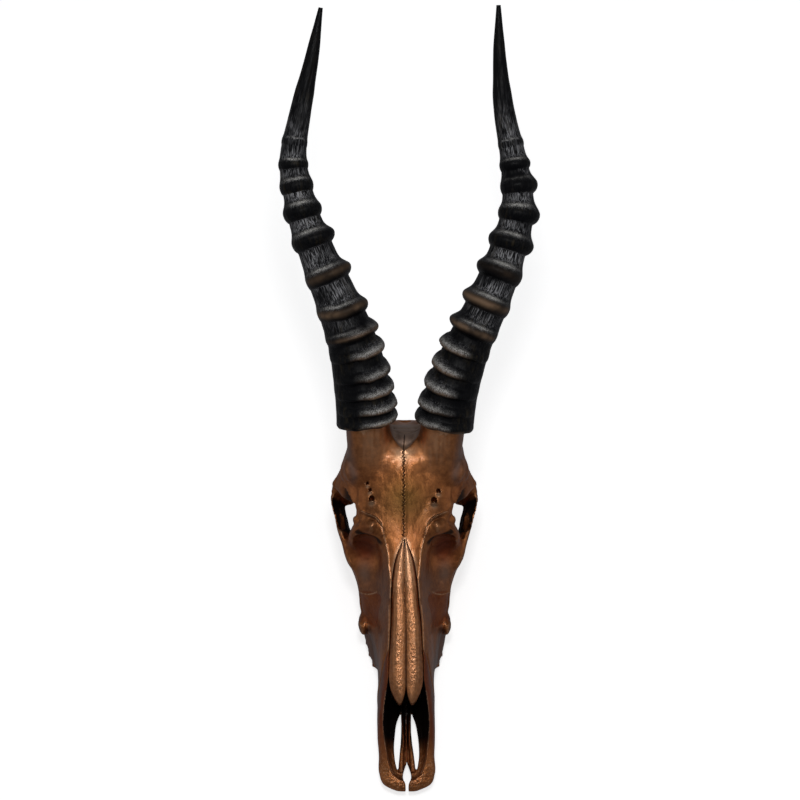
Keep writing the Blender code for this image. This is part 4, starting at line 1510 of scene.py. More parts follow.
    def tint_glints(self, relief: Relief) -> None:
        """Stores the painted highlights, the painted shade on the forehead, and the painted
        brightening on the brow's sides and the nerve holes' lips.

        Args:
            relief: The skull's points.
        """
        axes = across, along, level = relief.axes()
        up = relief.out[:, 2] > 0.2
        broken = 0.35 + 0.65 * smooth(noise(relief.at / 1.3, 9), -0.6)
        glints = [0.7 * smooth(relief.hollow(6), -0.10, -0.35)]
        glints.append(broken * relief.shade_of(self.glints()))
        sizes = ((x, y - 2.0 * radius, radius, 0.8 * radius) for x, y, radius in self.foramina)
        lips = strongest(*(spot(relief.at.T, size[:2], size[2:]) for size in sizes))
        glints.append(0.88 * lips * up)
        flash = relief.at[:, 0] + 1.0, along - 239.5
        spread = np.hypot(*flash)
        angle = np.arctan2(flash[1], flash[0])
        ray = noise(np.stack((angle * 7, 0.1 * spread, 0 * spread), axis=1), 15)
        glints.append(1.5 * hump(spread, 0, 6.5 + 2.5 * ray) * up)
        relief.paint("glint", strongest(*glints))
        # Painted shade across the middle of the forehead.
        painted_shade = 0.40 * hump(along, 199, 17) * smooth(across, 34, -6)
        painted_shade += 0.25 * spot(axes, (25, 199), (6, 7))
        relief.paint("painted_shade", painted_shade * up * (level > 92))
        # Painted brightening, lighter and a little rougher, on the brow's sides and the lips of the
        # nerve holes.
        streak = 0.75 + 0.5 * noise(relief.at / (1.6, 9.0, 9.0), 16)
        painted_brightening = spot(axes, (25, 245), (12, 13)) * streak
        relief.paint("painted_brightening", strongest(painted_brightening, 1.3 * lips) * up)

    def tint_colours(self, relief: Relief) -> None:
        """Stores a painted grey sheen on steep sides, the olive tone of the forehead, painted shade
        with red reflections in hollows, and a pale painted sheen on the crown and the fossa's
        bulge.

        Args:
            relief: The skull's points.
        """
        axes = across, along, level = relief.axes()
        # A painted grey sheen of grazing reflection on the face's steep sides and on a band along
        # the brow's edge.
        triangle = relief.patch(Side.FLANK, self.cheek, 2.0)
        flank = smooth(np.abs(relief.out[:, 0]), 0.35, 0.3)
        flank = flank * smooth(along, 60, 25) * smooth(along, 172, -20) * (level > 9)
        upper = smooth((across - 17.5 - 0.03 * (along - 90)) / 4)
        wedge = smooth(level, 38, -10) * smooth(along, 150, -14)
        flank = flank * (0.35 + 0.65 * wedge) * (1 - triangle)
        band = Stroke(Side.TOP, ((46, 257), (44, 240), (40, 226)), 3.4, 0, facing=0.1)
        painted_grey_sheen = flank * strongest(upper, smooth(along, 118, 20))
        relief.paint("painted_grey_sheen", strongest(painted_grey_sheen, 0.8 * relief.shade_of((band,))))
        relief.paint("olive", spot(axes, (0, 206), (17, 15)) * (level > 95))
        # Red in the fossa, orbit and cheek hollows: painted shade with red reflections.
        fossa = spot(axes, (31, 184, 74), (11, 11, 16))
        orbit = spot(axes, (38, 216, 74), (14, 18, 24))
        cheek = spot(axes, (26, 138, 44), (9, 18, 14))
        relief.paint("red_tint_and_bounce", strongest(1.25 * fossa, 0.7 * orbit, 0.3 * cheek, 0.6 * triangle))
        # A pale painted grazing sheen on the crown behind the brow, and a painted highlight on the
        # fossa's bulge.
        limit = 242.5 + 0.9 * across + 0.02 * across**2.3
        pale_sheen = smooth((along - limit) / 1.6 + 0.5) * smooth(across, 13.5, -2.0) * (level > 78)
        pale_sheen = pale_sheen * smooth((280 + 3 * noise(relief.at / 5, 17) - along) / 9)
        bulge = spot(axes, (32, 167, 60), (6, 7, 9))
        relief.paint("pale_sheen", strongest(pale_sheen, 0.5 * bulge))

    def build(self) -> list[bpy.types.Object]:
        """Builds the skull and both premaxillae.

        Returns:
            The skull, then the left and the right muzzle bone.
        """
        skull = self.fused()
        muzzle = Bench.twin(skull, "muzzle")
        Bench.cut(muzzle, [self.muzzle_room(0)], "INTERSECT")
        Bench.cut(muzzle, [Nasal("room", 0).room()])
        Bench.cut(skull, [self.muzzle_room(self.joint_gap)])
        Bench.melt(skull, voxel=0.85, rounds=4)
        skull.name = skull.data.name = "copper_skull"
        self.ease_brow(skull)
        self.refine(skull)
        relief = Relief(skull)
        relief.work(self.strokes())
        relief.commit()
        self.roughen(relief)
        relief.commit()
        relief.push(-1.0 * relief.patch(Side.FLANK, self.cheek, 2.5))
        relief.commit()
        relief.work(self.seams() + self.glints())
        self.drill_foramina(relief)
        relief.write()
        Bench.cut(skull, [Nasal("room", 0).room(), *(horn.room() for horn in HORNS)])
        Bench.thin(skull, self.most_triangles)
        relief.read()
        self.paint_seams_and_shade(relief)
        self.tint_glints(relief)
        self.tint_colours(relief)
        Bench.coat(skull, self.paint.material("copper_on_skull"))
        Bench.settle(skull)
        bones = [self.premaxilla(muzzle, word, side) for word, side in SIDES]
        Bench.discard([muzzle])
        return [skull, *bones]

    def premaxilla(self, muzzle: bpy.types.Object, word: str, side: int) -> bpy.types.Object:
        """Builds one bone of the muzzle.

        Args:
            muzzle: Both bones as one solid.
            word: The side's name.
            side: -1 for the viewer's left, 1 for the right.

        Returns:
            The finished bone.
        """
        bone = Bench.twin(muzzle, f"copper_premaxilla_{word}")
        low, high = sorted((0.15 * side, 60 * side))
        Bench.cut(bone, [Bench.block("half", (low, -20, -20), (high, 130, 100))], "INTERSECT")
        Bench.melt(bone, voxel=0.5, rounds=6)
        relief = Relief(bone)
        at, up = relief.at, relief.out[:, 2]
        relief.push(0.16 * noise(at / (5, 8, 5), 11) + 0.05 * noise(at / (0.9, 3.0, 0.9), 12))
        shelf = smooth(at[:, 2], 22, -4) * smooth(up, 0.2, 0.4)
        relief.push(0.22 * shelf * noise(at / 0.9, 13))
        rim = (Stroke(Side.TOP, self.rim, 0.6, 0.5),)
        relief.work(rim)
        relief.commit()
        across, along, level = relief.axes()
        nose = self.nasal_share(relief, along, level)
        # Painted shade in hollows and inside the nose, deeper towards the back.
        dark = nose * (0.42 + 0.58 * smooth(along, 28, 26))
        relief.paint("seam_and_shade", strongest(0.8 * smooth(relief.hollow(8), 0.08, 0.3), dark))
        # Painted highlights on the rim and in specks on the shelf.
        speckle = smooth(noise(relief.at / 0.7, 13) * 2 - 0.3)
        speckle = 0.6 * shelf * speckle * smooth(along, 44, -20)
        relief.paint("glint", strongest(relief.shade_of(rim), speckle))
        # A red tint towards the muzzle's tips.
        relief.paint("red_tint_and_bounce", 0.8 * smooth(along, 20, 30) * smooth(across, 10, 6))
        # A painted grey sheen on the outermost sides, outside the nose.
        aside = smooth(np.abs(relief.out[:, 0]), 0.84, 0.12) * smooth(along, 44, 20)
        relief.paint("painted_grey_sheen", 0.8 * aside * (1 - nose))
        Bench.coat(bone, self.paint.material(f"copper_on_premaxilla_{word}"))
        Bench.settle(bone)
        return bone


@dataclass
class Nasal:
    """One nasal bone, or the room that both need in the skull.

    Attributes:
        side: -1 for the viewer's left, 1 for the right, 0 for the room of both.
        rows: Place, inner edge, outer edge and level of the crown.
        drop: How far the outer edge falls where the bone is widest.
        gap: How much wider the room is than the bones.
    """

    word: str
    side: int
    paint: CopperPaint = field(default_factory=CopperPaint)
    rows: Path = (
        (59, 3.6, 5.6, 49.4), (61, 2.5, 7.5, 51.0), (65, 1.1, 9.8, 53.4), (69, 0.5, 11.6, 55.4),
        (74, 0.2, 12.9, 57.8), (88, 0.15, 13.3, 63.6), (108, 0.15, 12.6, 72.0),
        (130, 0.15, 11.2, 81.2), (150, 0.15, 9.6, 89.3), (164, 0.15, 6.6, 94.9),
        (177, 0.15, 1.0, 99.3),
    )
    depth: float = 4.5
    drop: float = 5.8
    gap: float = 0.3
    corners: int = 13

    def rings(self, grown: float) -> list[np.ndarray]:
        """Cross sections from the tip to the brow.

        Args:
            grown: How far the outline is widened, for the room in the skull.

        Returns:
            One ring per station.
        """
        place, inner, outer, height = np.array(self.rows, float).T
        fine = np.concatenate((np.linspace(place[0], 68, 12), np.linspace(70, place[-1], 50)))
        edges = curve(place, np.stack((inner, outer, height), axis=1), fine)
        if grown:
            fine[0] -= 6
            fine[-1] += grown
        share = np.linspace(0, 1, self.corners)
        rings = []
        for station, (near, far, top) in zip(fine, edges):
            far += grown
            x = near + (far - near) * share if self.side else far * (2 * share - 1)
            ridge = 0.48 * far
            past = np.where(np.abs(x) > ridge, (np.abs(x) - ridge) / (far - ridge), 0)
            middle = 0.03 * np.clip(1 - np.abs(x) / ridge, 0, 1) ** 2
            fall = self.drop * (far / 13.6) * (past**2.6 + middle)
            crown = top - fall - 0.7 * (1 - share) ** 8
            crown = np.full(self.corners, top + 12.0) if grown else crown
            base = top - self.depth - grown - 0.8 * fall
            spots = x * (self.side or 1)
            over = [(x, station, z) for x, z in zip(spots, crown)]
            under = [(x, station, z) for x, z in zip(spots[::-1], base[::-1])]
            rings.append(np.array(over + under))
        return rings

    def room(self) -> bpy.types.Object:
        """The space of both nasal bones, open to the sky."""
        return Bench.drawn("nasal_room", self.rings(self.gap))

    def build(self) -> bpy.types.Object:
        """Builds the bone.

        Returns:
            The finished bone.
        """
        bone = Bench.drawn(f"copper_nasal_{self.word}", self.rings(0.0))
        Bench.melt(bone, voxel=0.42, rounds=4)
        relief = Relief(bone)
        at = relief.at
        up = smooth(relief.out[:, 2], 0.1, 0.5)
        across = np.abs(at[:, 0])
        share = across / np.interp(at[:, 1], (57, 69, 88, 130, 177), (8, 12.4, 13.6, 11.2, 2))
        crown = hump(share, 0.48, 0.38)
        relief.push(up * (0.12 * crown - 0.20 * hump(share, 0.9, 0.08)))
        relief.push(up * (0.10 * noise(at / (8, 16, 8), 21 + self.side)))
        hammered = noise(at / (1.0, 1.5, 1.0), 23 + self.side)
        relief.push(0.12 * up * hammered * smooth(noise(at / (7, 20, 9), 25), -0.5, 0.6))
        relief.commit()
        # Painted highlights: brighter towards the brow and on the right bone, on the crown and in
        # hammered specks.
        sheen = smooth(at[:, 1], 136, 26) * (0.55 if self.side > 0 else 0.3)
        glint = 0.05 + 0.25 * crown + sheen + 0.3 * np.clip(hammered, 0, 1) * up
        relief.paint("glint", np.minimum(glint, 0.9))
        # Dark along the midline seam, with painted shade in hollows.
        edge = strongest(smooth(across, 0.7, -0.4), smooth(relief.hollow(8), 0.05, 0.25))
        relief.paint("seam_and_shade", edge * 0.8)
        Bench.coat(bone, self.paint.material(f"copper_on_nasal_{self.word}"))
        Bench.settle(bone)
        return bone


@dataclass
class Horn:
    """One horn's sheath with its ridges and fibres.

    Attributes:
        line: The horn's centre line and its radius at each point.
        start: Where on the line the sheath begins.
        ridges: Place, height inside and outside, half width and tilt of each ridge.
        dips: How far the ridges sag in front, at places on the line.
        columns: Faces round the sheath.
        rows: Faces along it.
        tuck: Share of the rolled sheet that is tucked in under the lower edge.
        fibre_pace: How slowly the fibres' pattern runs along the horn.
        gap: Gap between the sheath and its pedicle.
    """

    word: str
    side: int
    line: Path
    start: float
    ridges: Path
    dips: Path
    finish: BlackHorn = field(default_factory=BlackHorn)
    columns: int = 222
    rows: int = 430
    tuck: float = 0.012
    fibre_pace: float = 0.032
    gap: float = 0.3

    def frame_at(self, distances: np.ndarray) -> tuple[np.ndarray, ...]:
        """Reads the horn's line.

        Args:
            distances: Millimetres from the start of the line.

        Returns:
            Centres, radii, directions, and the inward and front ways at each distance.
        """
        knots = np.asarray(self.line, float)
        lengths = lengths_along(knots[:, :3])
        values = curve(lengths, knots, distances)
        ways = curve(lengths, knots[:, :3], distances + 0.5)
        ways -= curve(lengths, knots[:, :3], distances - 0.5)
        ways /= np.linalg.norm(ways, axis=1)[:, None]
        inward = np.zeros_like(ways)
        inward[:, 0] = -self.side
        inward -= ways * np.einsum("ij,ij->i", inward, ways)[:, None]
        inward /= np.linalg.norm(inward, axis=1)[:, None]
        front = np.cross(ways, inward) * self.side
        front *= np.where(front[:, 2:] < 0, -1.0, 1.0)
        return values[:, :3], values[:, 3], ways, inward, front

    def length(self) -> float:
        """Length of the horn's line."""
        return float(lengths_along(np.asarray(self.line, float)[:, :3])[-1])

    def room(self) -> bpy.types.Object:
        """Fills the space over the plane where the sheath meets its pedicle.

        Returns:
            The space as a cutter.
        """
        centres, _, ways, _, _ = self.frame_at(np.array([self.start - self.gap]))
        way = Vector(ways[0])
        return Bench.drum(f"horn_room_{self.word}", Vector(centres[0]) + way * 30, way, 40, 60)

    def relief_at(self, along: np.ndarray, turn: np.ndarray) -> tuple[np.ndarray, ...]:
        """How far the sheath stands out from its plain radius.

        Args:
            along: Distance of each point from the start of the line.
            turn: Angle of each point, 0 inwards and a quarter turn in front.

        Returns:
            Heights, then how worn each crest is, how much pale fibres show as painted light on the
            lit front, how smooth a roll is and how much its upper edge shines.
        """
        before, aside = np.sin(turn), np.cos(turn)
        front = np.maximum(0.0, before) ** 0.7
        near = (0.5 + 0.5 * np.cos(turn - 0.6)) ** 1.5 * (1 + 0.5 * front)
        far = (0.5 - 0.5 * aside) ** 1.5
        fade = 1 - 0.6 * np.maximum(0.0, -before)
        outer = np.maximum(0.0, -aside)
        inner = smooth(aside, -0.25, 0.7)
        ring = np.stack((aside * 3, before * 3, along * 0.02), axis=1)
        wander = 0.7 * noise(ring, 31 + self.side)
        height, crest, lit, rolls, sheen = np.zeros((5, *along.shape))
        for middle, inside, outside, half, tilt in self.ridges:
            dip = np.interp(middle, *np.transpose(self.dips))
            low = smooth(middle, 95, -20)
            sag = dip * front - tilt * outer + wander * (0.35 + 0.65 * low)
            t = (along - middle + sag) / half
            above = t > 0
            under = 0.95 - 0.5 * np.maximum(front, 0.5)
            fold = np.clip(1 - (t / np.where(above, 1.1, under)) ** 2, 0, 1) ** 0.85
            bell = np.where(above, hump(t, 0, 0.78), np.clip(1 - (t / 0.92) ** 2, 0, 1) ** 0.75)
            flare = 0.55 * front * low * np.clip(1 - t / 2.2, 0, 1) ** 1.6 * above
            size = (inside * near + outside * far) * fade
            size *= 1 + 0.10 * low * noise(ring * 2.1, int(middle))
            size *= 1 + 0.35 * low * front
            shape = np.maximum(low * fold + (1 - low) * bell, flare)
            height = np.maximum(height, size * shape)
            strength = smooth(size / 2.4)
            line = smooth(middle, 150, -40) * hump(t, -0.05, 0.26 + 0.1 * (1 - low)) * strength
            crest = np.maximum(crest, line * (1 - low * (1 - inner)))
            glow = low * inner * np.clip(1.1 - t / 1.3, 0, 1) * (t > -0.1)
            edge = 0.5 * (1 - low) * hump(t, 0.62, 0.22)
            lit = np.maximum(lit, np.maximum(glow, edge) * smooth(size / 2.0))
            rolls = np.maximum(rolls, (1 - low) * bell * strength)
            band = low * inner * front * hump(t, 0.36, 0.28)
            band += (1 - low) * np.maximum(0, before) ** 5 * hump(t, 0.74, 0.15)
            sheen = np.maximum(sheen, band * smooth(size / 1.6))
        # Pale fibre streaks on the shafts' front side: painted light.
        shaft = smooth(along, 80, 40) * (1 - smooth(rolls / 0.35))
        shaft *= np.maximum(0, np.sin(turn - 0.15)) ** 1.5
        return height, crest, np.maximum(front * lit, shaft), rolls, sheen

    def build(self) -> bpy.types.Object:
        """Builds the sheath from a sheet that is rolled round the horn's line.

        Returns:
            The finished sheath.
        """
        bpy.ops.object.select_all(action="DESELECT")
        bpy.ops.mesh.primitive_grid_add(
            x_subdivisions=self.columns, y_subdivisions=self.rows, size=1
        )
        piece = Bench.named(f"black_horn_{self.word}")
        relief = Relief(piece)
        u = relief.at[:, 0] * MM + 0.5
        v = relief.at[:, 1] * MM + 0.5
        turn = FULL_TURN * u
        aside, before = np.cos(turn), np.sin(turn)
        total = self.length()
        rolled = smooth((self.tuck - v) / self.tuck)
        along = self.start + (total - self.start) * np.clip((v - self.tuck) / (1 - self.tuck), 0, 1)
        height, _, front, rolls, _ = self.relief_at(along, turn)
        centres, radii, ways, inward, outward = self.frame_at(along)
        fibres = np.stack((aside * radii, before * radii, along * self.fibre_pace), axis=1)
        groove = 0.20 * noise(fibres * (0.42, 0.42, 1.0), 41)
        groove += 0.13 * noise(fibres * (0.85, 0.85, 1.2), 42)
        lump = 0.25 * noise(np.stack((aside * 2, before * 2, along / 14), axis=1), 43)
        uneven = groove * (0.5 + 0.9 * front) + lump
        low = hump(along, self.start, 3.0)
        radius = radii + height + uneven * smooth((total - along) / 60) * (1 - 0.8 * rolls)
        radius = (radius + 0.5 * low) * (1 - rolled) + 12 * rolled
        edge = 0.7 * noise(np.stack((aside * 4, before * 4, 0 * turn), axis=1), 44)
        shift = edge * low * (1 - rolled) + 1.6 * rolled
        spots = aside[:, None] * inward + before[:, None] * outward
        relief.at = centres + ways * shift[:, None] + spots * radius[:, None]
        relief.write()
        with Bench.editing(piece):
            bpy.ops.mesh.remove_doubles(threshold=1e-6)
            bpy.ops.mesh.select_all(action="DESELECT")
            bpy.ops.mesh.select_non_manifold()
            bpy.ops.mesh.edge_face_add()
            bpy.ops.mesh.select_all(action="SELECT")
            bpy.ops.mesh.normals_make_consistent(inside=False)
        self.dress(piece)
        Bench.settle(piece, angle=75)
        return piece

    def dress(self, piece: bpy.types.Object) -> None:
        """Stores the crests and the way of the fibres, and gives the horn its finish.

        Args:
            piece: The closed sheath.
        """
        relief = Relief(piece)
        total, step = self.length(), 0.5
        samples = np.arange(0, total, step)
        centres, _, ways, inward, outward = self.frame_at(samples)
        nearest = np.searchsorted((centres[1:, 1] + centres[:-1, 1]) / 2, relief.at[:, 1])
        for _ in range(4):
            gap = relief.at - centres[nearest]
            slide = np.round(np.einsum("ij,ij->i", gap, ways[nearest]) / step)
            nearest = np.clip(nearest + slide.astype(int), 0, len(samples) - 1)
        gap = relief.at - centres[nearest]
        along = samples[nearest] + np.einsum("ij,ij->i", gap, ways[nearest])
        across = np.einsum("ij,ij->i", gap, inward[nearest])
        above = np.einsum("ij,ij->i", gap, outward[nearest])
        turn = np.arctan2(above, across)
        _, crest, front, _, sheen = self.relief_at(along, turn)
        relief.paint("sheen", sheen)
        ahead = np.maximum(0.0, np.sin(turn)) ** 0.7
        lip = hump(along, self.start + 0.8, 1.1) * smooth(noise(relief.at / 3.5, 45), -0.6)
        relief.paint("crest", strongest(crest, 0.8 * lip) * (0.15 + 0.85 * ahead))
        # Painted light: how far the pale fibres and the lit zones above the ridges show on the
        # front.
        relief.paint("front", 0.02 + 0.98 * front * smooth((total - along - 60) / 60))
        layer = piece.data.attributes.new("fibres", "FLOAT_VECTOR", "POINT")
        fibres = np.stack((across, above, along * self.fibre_pace), axis=1)
        layer.data.foreach_set("vector", fibres.astype(np.float32).ravel())
        Bench.coat(piece, self.finish.material(f"black_on_horn_{self.word}"))


HORNS = (
    Horn(
        "left",
        -1,
        (
            (-29.5, 258.6, 122.8, 23.7), (-31.0, 267.0, 132.0, 23.5), (-33.8, 284.0, 149.0, 22.2),
            (-40.1, 308.3, 170.0, 20.0), (-53.1, 338.5, 193.0, 17.2), (-69.2, 369.5, 214.5, 14.4),
            (-81.9, 401.0, 235.0, 12.4), (-88.0, 433.0, 255.6, 10.6), (-82.0, 463.5, 277.0, 8.3),
            (-73.7, 494.0, 300.5, 5.7), (-66.1, 526.0, 326.5, 1.7),
        ),
        11.0,
        (
            (15.8, 2.0, 0.0, 4.0, 0), (27.2, 3.3, 0.0, 5.0, 0), (39.8, 3.4, 0.0, 5.2, 0),
            (53.8, 3.4, 0.0, 5.8, 0), (70.4, 4.0, 0.4, 5.8, 0), (84.6, 4.8, 0.6, 5.6, 0),
            (103.4, 4.8, 1.2, 7.0, 3.4), (133.4, 5.6, 1.4, 7.6, 0.6), (163.8, 5.4, 2.6, 8.0, 0),
            (187.2, 3.2, 3.0, 8.0, 0), (207.3, 1.8, 1.8, 6.6, 0), (224.2, 1.0, 1.2, 4.8, 0),
            (242.0, 0.5, 0.6, 4.0, 0),
        ),
        (
            (11, 0.0), (15, 2.5), (27, 4.0), (40, 4.5), (54, 5.5),
            (70, 5.0), (85, 2.5), (105, 1.0), (140, 0.0),
        ),
    ),
    Horn(
        "right",
        1,
        (
            (29.9, 258.6, 122.8, 22.6), (32.3, 267.0, 132.0, 22.2), (37.0, 284.0, 149.0, 20.7),
            (48.1, 308.3, 170.0, 18.1), (64.9, 338.5, 193.0, 16.3), (79.8, 369.5, 214.5, 14.5),
            (88.4, 401.0, 235.0, 12.7), (84.6, 433.0, 255.6, 10.4), (77.3, 463.5, 277.0, 8.1),
            (73.8, 494.0, 300.5, 5.4), (72.6, 527.5, 327.8, 1.7),
        ),
        9.0,
        (
            (14.0, 3.2, 0.0, 5.0, 0), (27.6, 3.5, 0.0, 5.2, 0), (42.9, 3.6, 0.0, 5.8, 0),
            (57.9, 3.6, 0.0, 5.8, 0), (73.4, 4.6, 0.4, 5.8, 0), (91.0, 5.6, 0.8, 6.2, 0),
            (113.4, 5.4, 2.0, 7.4, 0), (139.4, 5.0, 2.4, 8.0, 0), (163.7, 4.0, 4.6, 8.0, 0),
            (187.0, 2.4, 5.0, 8.0, 0), (208.8, 1.8, 4.4, 7.4, 0), (225.4, 1.2, 2.2, 5.2, 0),
            (242.0, 0.5, 0.8, 4.0, 0),
        ),
        (
            (9, 0.0), (14, 2.5), (28, 4.5), (43, 5.5), (58, 5.5),
            (73, 4.0), (91, 2.0), (113, 0.8), (140, 0.0),
        ),
    ),
)


@dataclass
class CheekTeeth:
    """One row of six upper cheek teeth.

    Attributes:
        teeth: Distance from the midline, place, length, width, lobes and rake of each tooth.
        top: How high the teeth reach into the bone.
        cuts: How often each edge of a tooth's block is cut.
    """

    word: str
    side: int
    paint: CopperPaint = field(default_factory=CopperPaint)
    teeth: Path = (
        (21.7, 113, 8.6, 11.4, 1, 4.2),
        (23.8, 122.5, 9.8, 12.8, 1, 2.4),
        (25.4, 133, 10.6, 13.2, 1, 1.8),
        (26.7, 146, 14.8, 14.0, 2, 0.9),
        (27.6, 162, 16.0, 14.2, 2, 0.6),
        (28.0, 178.5, 16.0, 13.2, 2, 0.6),
    )
    top: float = 17.0
    cuts: int = 24

    def tooth(
        self, across: float, middle: float, length: float, width: float, lobes: int, rake: float
    ) -> bpy.types.Object:
        """Shapes one tooth with its lobes, ribs and chewing folds.

        Args:
            across: Its distance from the midline.
            middle: Its middle along the row.
            length: Its size along the row.
            width: Its size across the row.
            lobes: Lobes along its outer side.
            rake: How far its front outer corner slants inwards.

        Returns:
            The tooth.
        """
        reach = length / 2 - 0.1
        low = (across - width / 2, middle - reach, 0)
        high = (across + width / 2, middle + reach, self.top)
        piece = Bench.block("tooth", low, high)
        with Bench.editing(piece):
            bpy.ops.mesh.subdivide(number_cuts=self.cuts)
        relief = Relief(piece)
        at = relief.at
        x, y = (at[:, 0] - across) / (width / 2), (at[:, 1] - middle) / reach
        level = at[:, 2] / self.top
        phase = 2 * (((y + 1) * lobes / 2 - 1e-6) % 1) - 1
        off = np.abs(phase)
        outer = 0.92 + 0.08 * hump(off, 0.78, 0.14) + 0.05 * hump(phase, 0, 0.25) - 0.16 * off**9
        inner = 0.62 + 0.38 * np.sqrt(np.clip(1 - 0.85 * phase**2, 0, 1))
        rise = smooth(1 - level)
        at[:, 0] = across + x * np.where(x > 0, outer, inner) * (0.90 + 0.10 * rise) * (width / 2)
        at[:, 1] = middle + y * reach * (1 - 0.05 * np.abs(x) ** 6) * (0.97 + 0.03 * rise)
        bend = 0.5 * (1 - phase**2)
        ring = hump(x + 0.55 * bend, 0.62, 0.12) + hump(x - 0.25 * bend, -0.66, 0.12)
        pit = np.clip(ring, 0, 1) * (off < 0.8) * (1 - np.abs(x) ** 8)
        cusp = off**1.3 * (1.7 * smooth(x + 0.4) + 0.7)
        at[:, 2] += smooth((0.05 - level) / 0.05) * (cusp + 0.9 * pit)
        at[:, 0] -= rake * np.maximum(x, 0) * smooth((0.15 - y) / 1.15)
        relief.write()
        return piece

    def build(self) -> bpy.types.Object:
        """Builds the row.

        Returns:
            The finished row.
        """
        row = Bench.join(f"copper_teeth_{self.word}", [self.tooth(*sizes) for sizes in self.teeth])
        if self.side < 0:
            Bench.only(row)
            bpy.ops.transform.mirror(constraint_axis=(True, False, False))
            bpy.ops.object.transform_apply()
            with Bench.editing(row):
                bpy.ops.mesh.normals_make_consistent(inside=False)
        relief = Relief(row)
        # Painted shade in the teeth's hollows.
        relief.paint("seam_and_shade", smooth(relief.hollow(4), 0.05, 0.25))
        Bench.coat(row, self.paint.material(f"copper_on_teeth_{self.word}"))
        Bench.settle(row, angle=50)
        return row


@dataclass
class NoseInside:
    """The vomer and the scrolled conchae, seen through the nasal opening."""

    paint: CopperPaint = field(default_factory=CopperPaint)
    scrolls: dict = field(
        default_factory=lambda: {
            "vomer_wing": (
                ((1.9, 34, 14), (2.4, 50, 16), (3.0, 68, 19), (3.2, 92, 26), (2.4, 116, 36)),
                ((0.5, 1.5, 10), (0.7, 3, 14), (0.8, 4.5, 14), (0.8, 6, 12), (0.8, 7, 10)),
            ),
            "low_concha": (
                ((11, 74, 24), (9.5, 84, 30), (9, 98, 37), (7.5, 114, 43)),
                ((1.6, 2.5, 25), (2.4, 5, 20), (2.6, 6.5, 15), (2.4, 6, 10)),
            ),
            "high_concha": (
                ((7, 82, 48), (6.5, 94, 52), (6, 114, 56)),
                ((1.2, 2.5, 0), (1.8, 3.5, 0), (1.8, 3.5, 0)),
            ),
        }
    )
    keel: tuple[Path, Path] = (
        ((0, 26, 9.0), (0, 50, 10.0), (0, 74, 13.5)),
        ((1.6, 1.5, 0), (1.8, 1.5, 0), (1.8, 2, 0)),
    )

    def build(self) -> bpy.types.Object:
        """Builds the thin bones inside the nose.

        Returns:
            The finished piece.
        """
        scrolls = [Bench.bar(name, *shape) for name, shape in self.scrolls.items()]
        keel = Bench.bar("vomer_keel", *self.keel)
        piece = Bench.join("copper_nose_inside", [keel, Bench.mirrored("scrolls", scrolls)])
        Bench.melt(piece, voxel=0.5, rounds=3)
        relief = Relief(piece)
        relief.push(0.25 * noise(relief.at / (1.2, 6, 1.2), 51))
        relief.write()
        # Painted shade inside the nose, darker towards the back, with red reflections.
        relief.paint("seam_and_shade", 0.35 + 0.5 * smooth(relief.at[:, 1], 44, 26))
        relief.paint("red_tint_and_bounce", np.full(len(relief.at), 0.6))
        Bench.coat(piece, self.paint.material("copper_inside_nose"))
        Bench.settle(piece)
        return piece


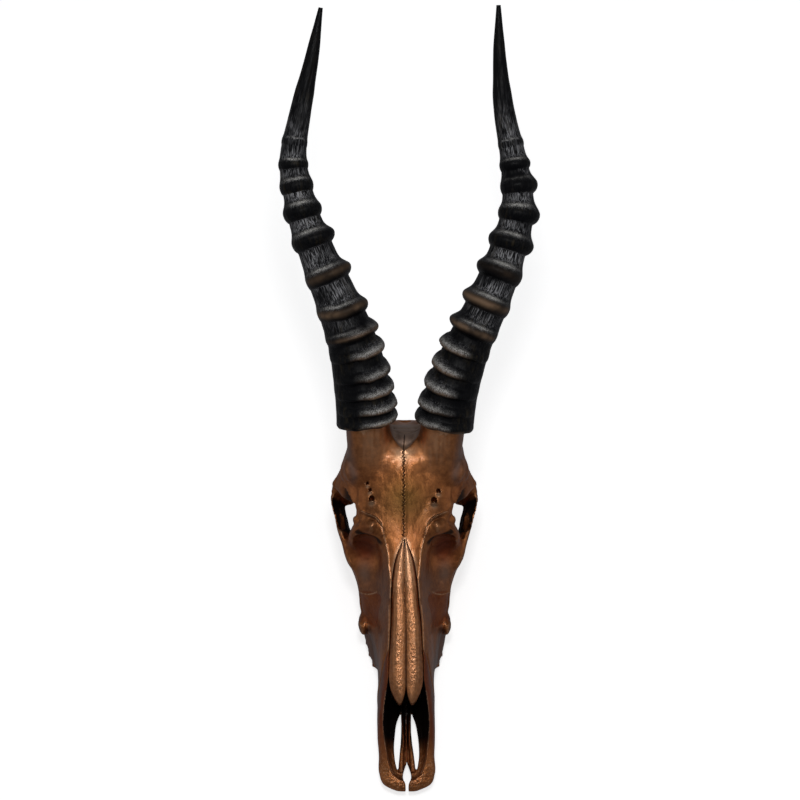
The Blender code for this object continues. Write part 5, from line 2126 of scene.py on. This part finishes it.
@dataclass
class Studio:
    """Pale floor, soft lamps and the camera, in metres.

    Attributes:
        sky: Colour of the light from everywhere.
        dim: Strength of that light on the object.
        lift: How much stronger the camera sees it.
        lamps: Place, aim, width and height, and watts of each soft box.
    """

    eye: Row = (-0.006945, -1.09925, 2.07012)
    elevation: float = 60.0
    lens: float = 126.35
    floor_level: float = -0.0002
    sky: Row = (0.97, 0.98, 1.0, 1)
    dim: float = 0.17
    lift: float = 0.75
    lamps: dict = field(
        default_factory=lambda: {
            "key_box": ((0.0, -0.34, 1.52), (0, -0.06, 0.1), (0.20, 0.22), 3.8),
            "broad_panel": ((0.0, 0.25, 1.75), (0, 0.1, 0), (2.2, 1.5), 2.0),
            "left_box": ((-1.6, -0.2, 0.9), (0, 0, 0.05), (0.9, 1.2), 1.2),
            "right_box": ((1.6, -0.2, 0.9), (0, 0, 0.05), (0.9, 1.2), 1.2),
        }
    )

    def hang(self, name: str, place: Row, aim: Row, size: Row, power: float) -> None:
        """Hangs a soft box.

        Args:
            name: The lamp's name.
            place: Where it hangs.
            aim: The point that it faces.
            size: Its width and height.
            power: Its watts.
        """
        bpy.ops.object.light_add(type="AREA", location=place)
        lamp = Bench.named(name)
        lamp.data.shape = "RECTANGLE"
        lamp.data.size, lamp.data.size_y = size
        lamp.data.energy = power
        lamp.rotation_euler = (Vector(aim) - Vector(place)).to_track_quat("-Z", "Y").to_euler()

    def light_sky(self) -> None:
        """Lights the object dimly from everywhere, against a sky that the camera sees brighter."""
        world = bpy.data.worlds.new("studio_sky")
        world.use_nodes = True
        links, nodes = world.node_tree.links, world.node_tree.nodes
        seen = nodes.new("ShaderNodeLightPath")
        strength = nodes.new("ShaderNodeMath")
        strength.operation = "MULTIPLY_ADD"
        strength.inputs[1].default_value = self.lift
        strength.inputs[2].default_value = self.dim
        links.new(seen.outputs["Is Camera Ray"], strength.inputs[0])
        links.new(strength.outputs[0], nodes["Background"].inputs["Strength"])
        nodes["Background"].inputs["Color"].default_value = self.sky
        bpy.context.scene.world = world

    def build(self) -> None:
        """Sets up the floor, the lamps, the sky and the camera."""
        bpy.ops.object.select_all(action="DESELECT")
        bpy.ops.mesh.primitive_plane_add(size=12, location=(0, 0, self.floor_level))
        floor = Bench.named("studio_floor")
        Bench.coat(floor, Paper().material())
        floor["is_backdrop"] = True
        for name, values in self.lamps.items():
            self.hang(name, *values)
        self.light_sky()
        scene = bpy.context.scene
        scene.view_settings.view_transform = "Standard"
        tilt = math.radians(90 - self.elevation)
        bpy.ops.object.camera_add(location=self.eye, rotation=(tilt, 0, 0))
        camera = Bench.named("camera")
        camera.data.lens = self.lens
        camera.data.clip_start = 0.05
        scene.camera = camera


def corners() -> list[list[float]]:
    """The object's box as plain lists."""
    return [list(corner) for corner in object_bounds()]


def main() -> None:
    """Builds every piece, hides the solids that it stands for, and sets the studio."""
    logging.basicConfig(level=logging.INFO, format="%(name)s: %(message)s")
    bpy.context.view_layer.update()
    made = []
    skull, left, right = Skull().build()
    made.append((skull, ("skull",), "coated_bone"))
    made.append((left, ("premaxilla_left",), "coated_bone"))
    made.append((right, ("premaxilla_right",), "coated_bone"))
    for word, side in SIDES:
        made.append((Nasal(word, side).build(), (f"nasal_{word}",), "coated_bone"))
        made.append((CheekTeeth(word, side).build(), (), "coated_bone"))
    made.append((NoseInside().build(), (), "coated_bone"))
    for horn in HORNS:
        made.append((horn.build(), (f"horn_{horn.word}",), "horn_sheath"))
    for piece, nodes, slot in made:
        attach(piece, BODY_NAME)
        if nodes:
            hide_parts(*nodes)
        log.info("%s: %d faces", piece.name, len(piece.data.polygons))
    Studio().build()


if __name__ == "__main__":
    main()
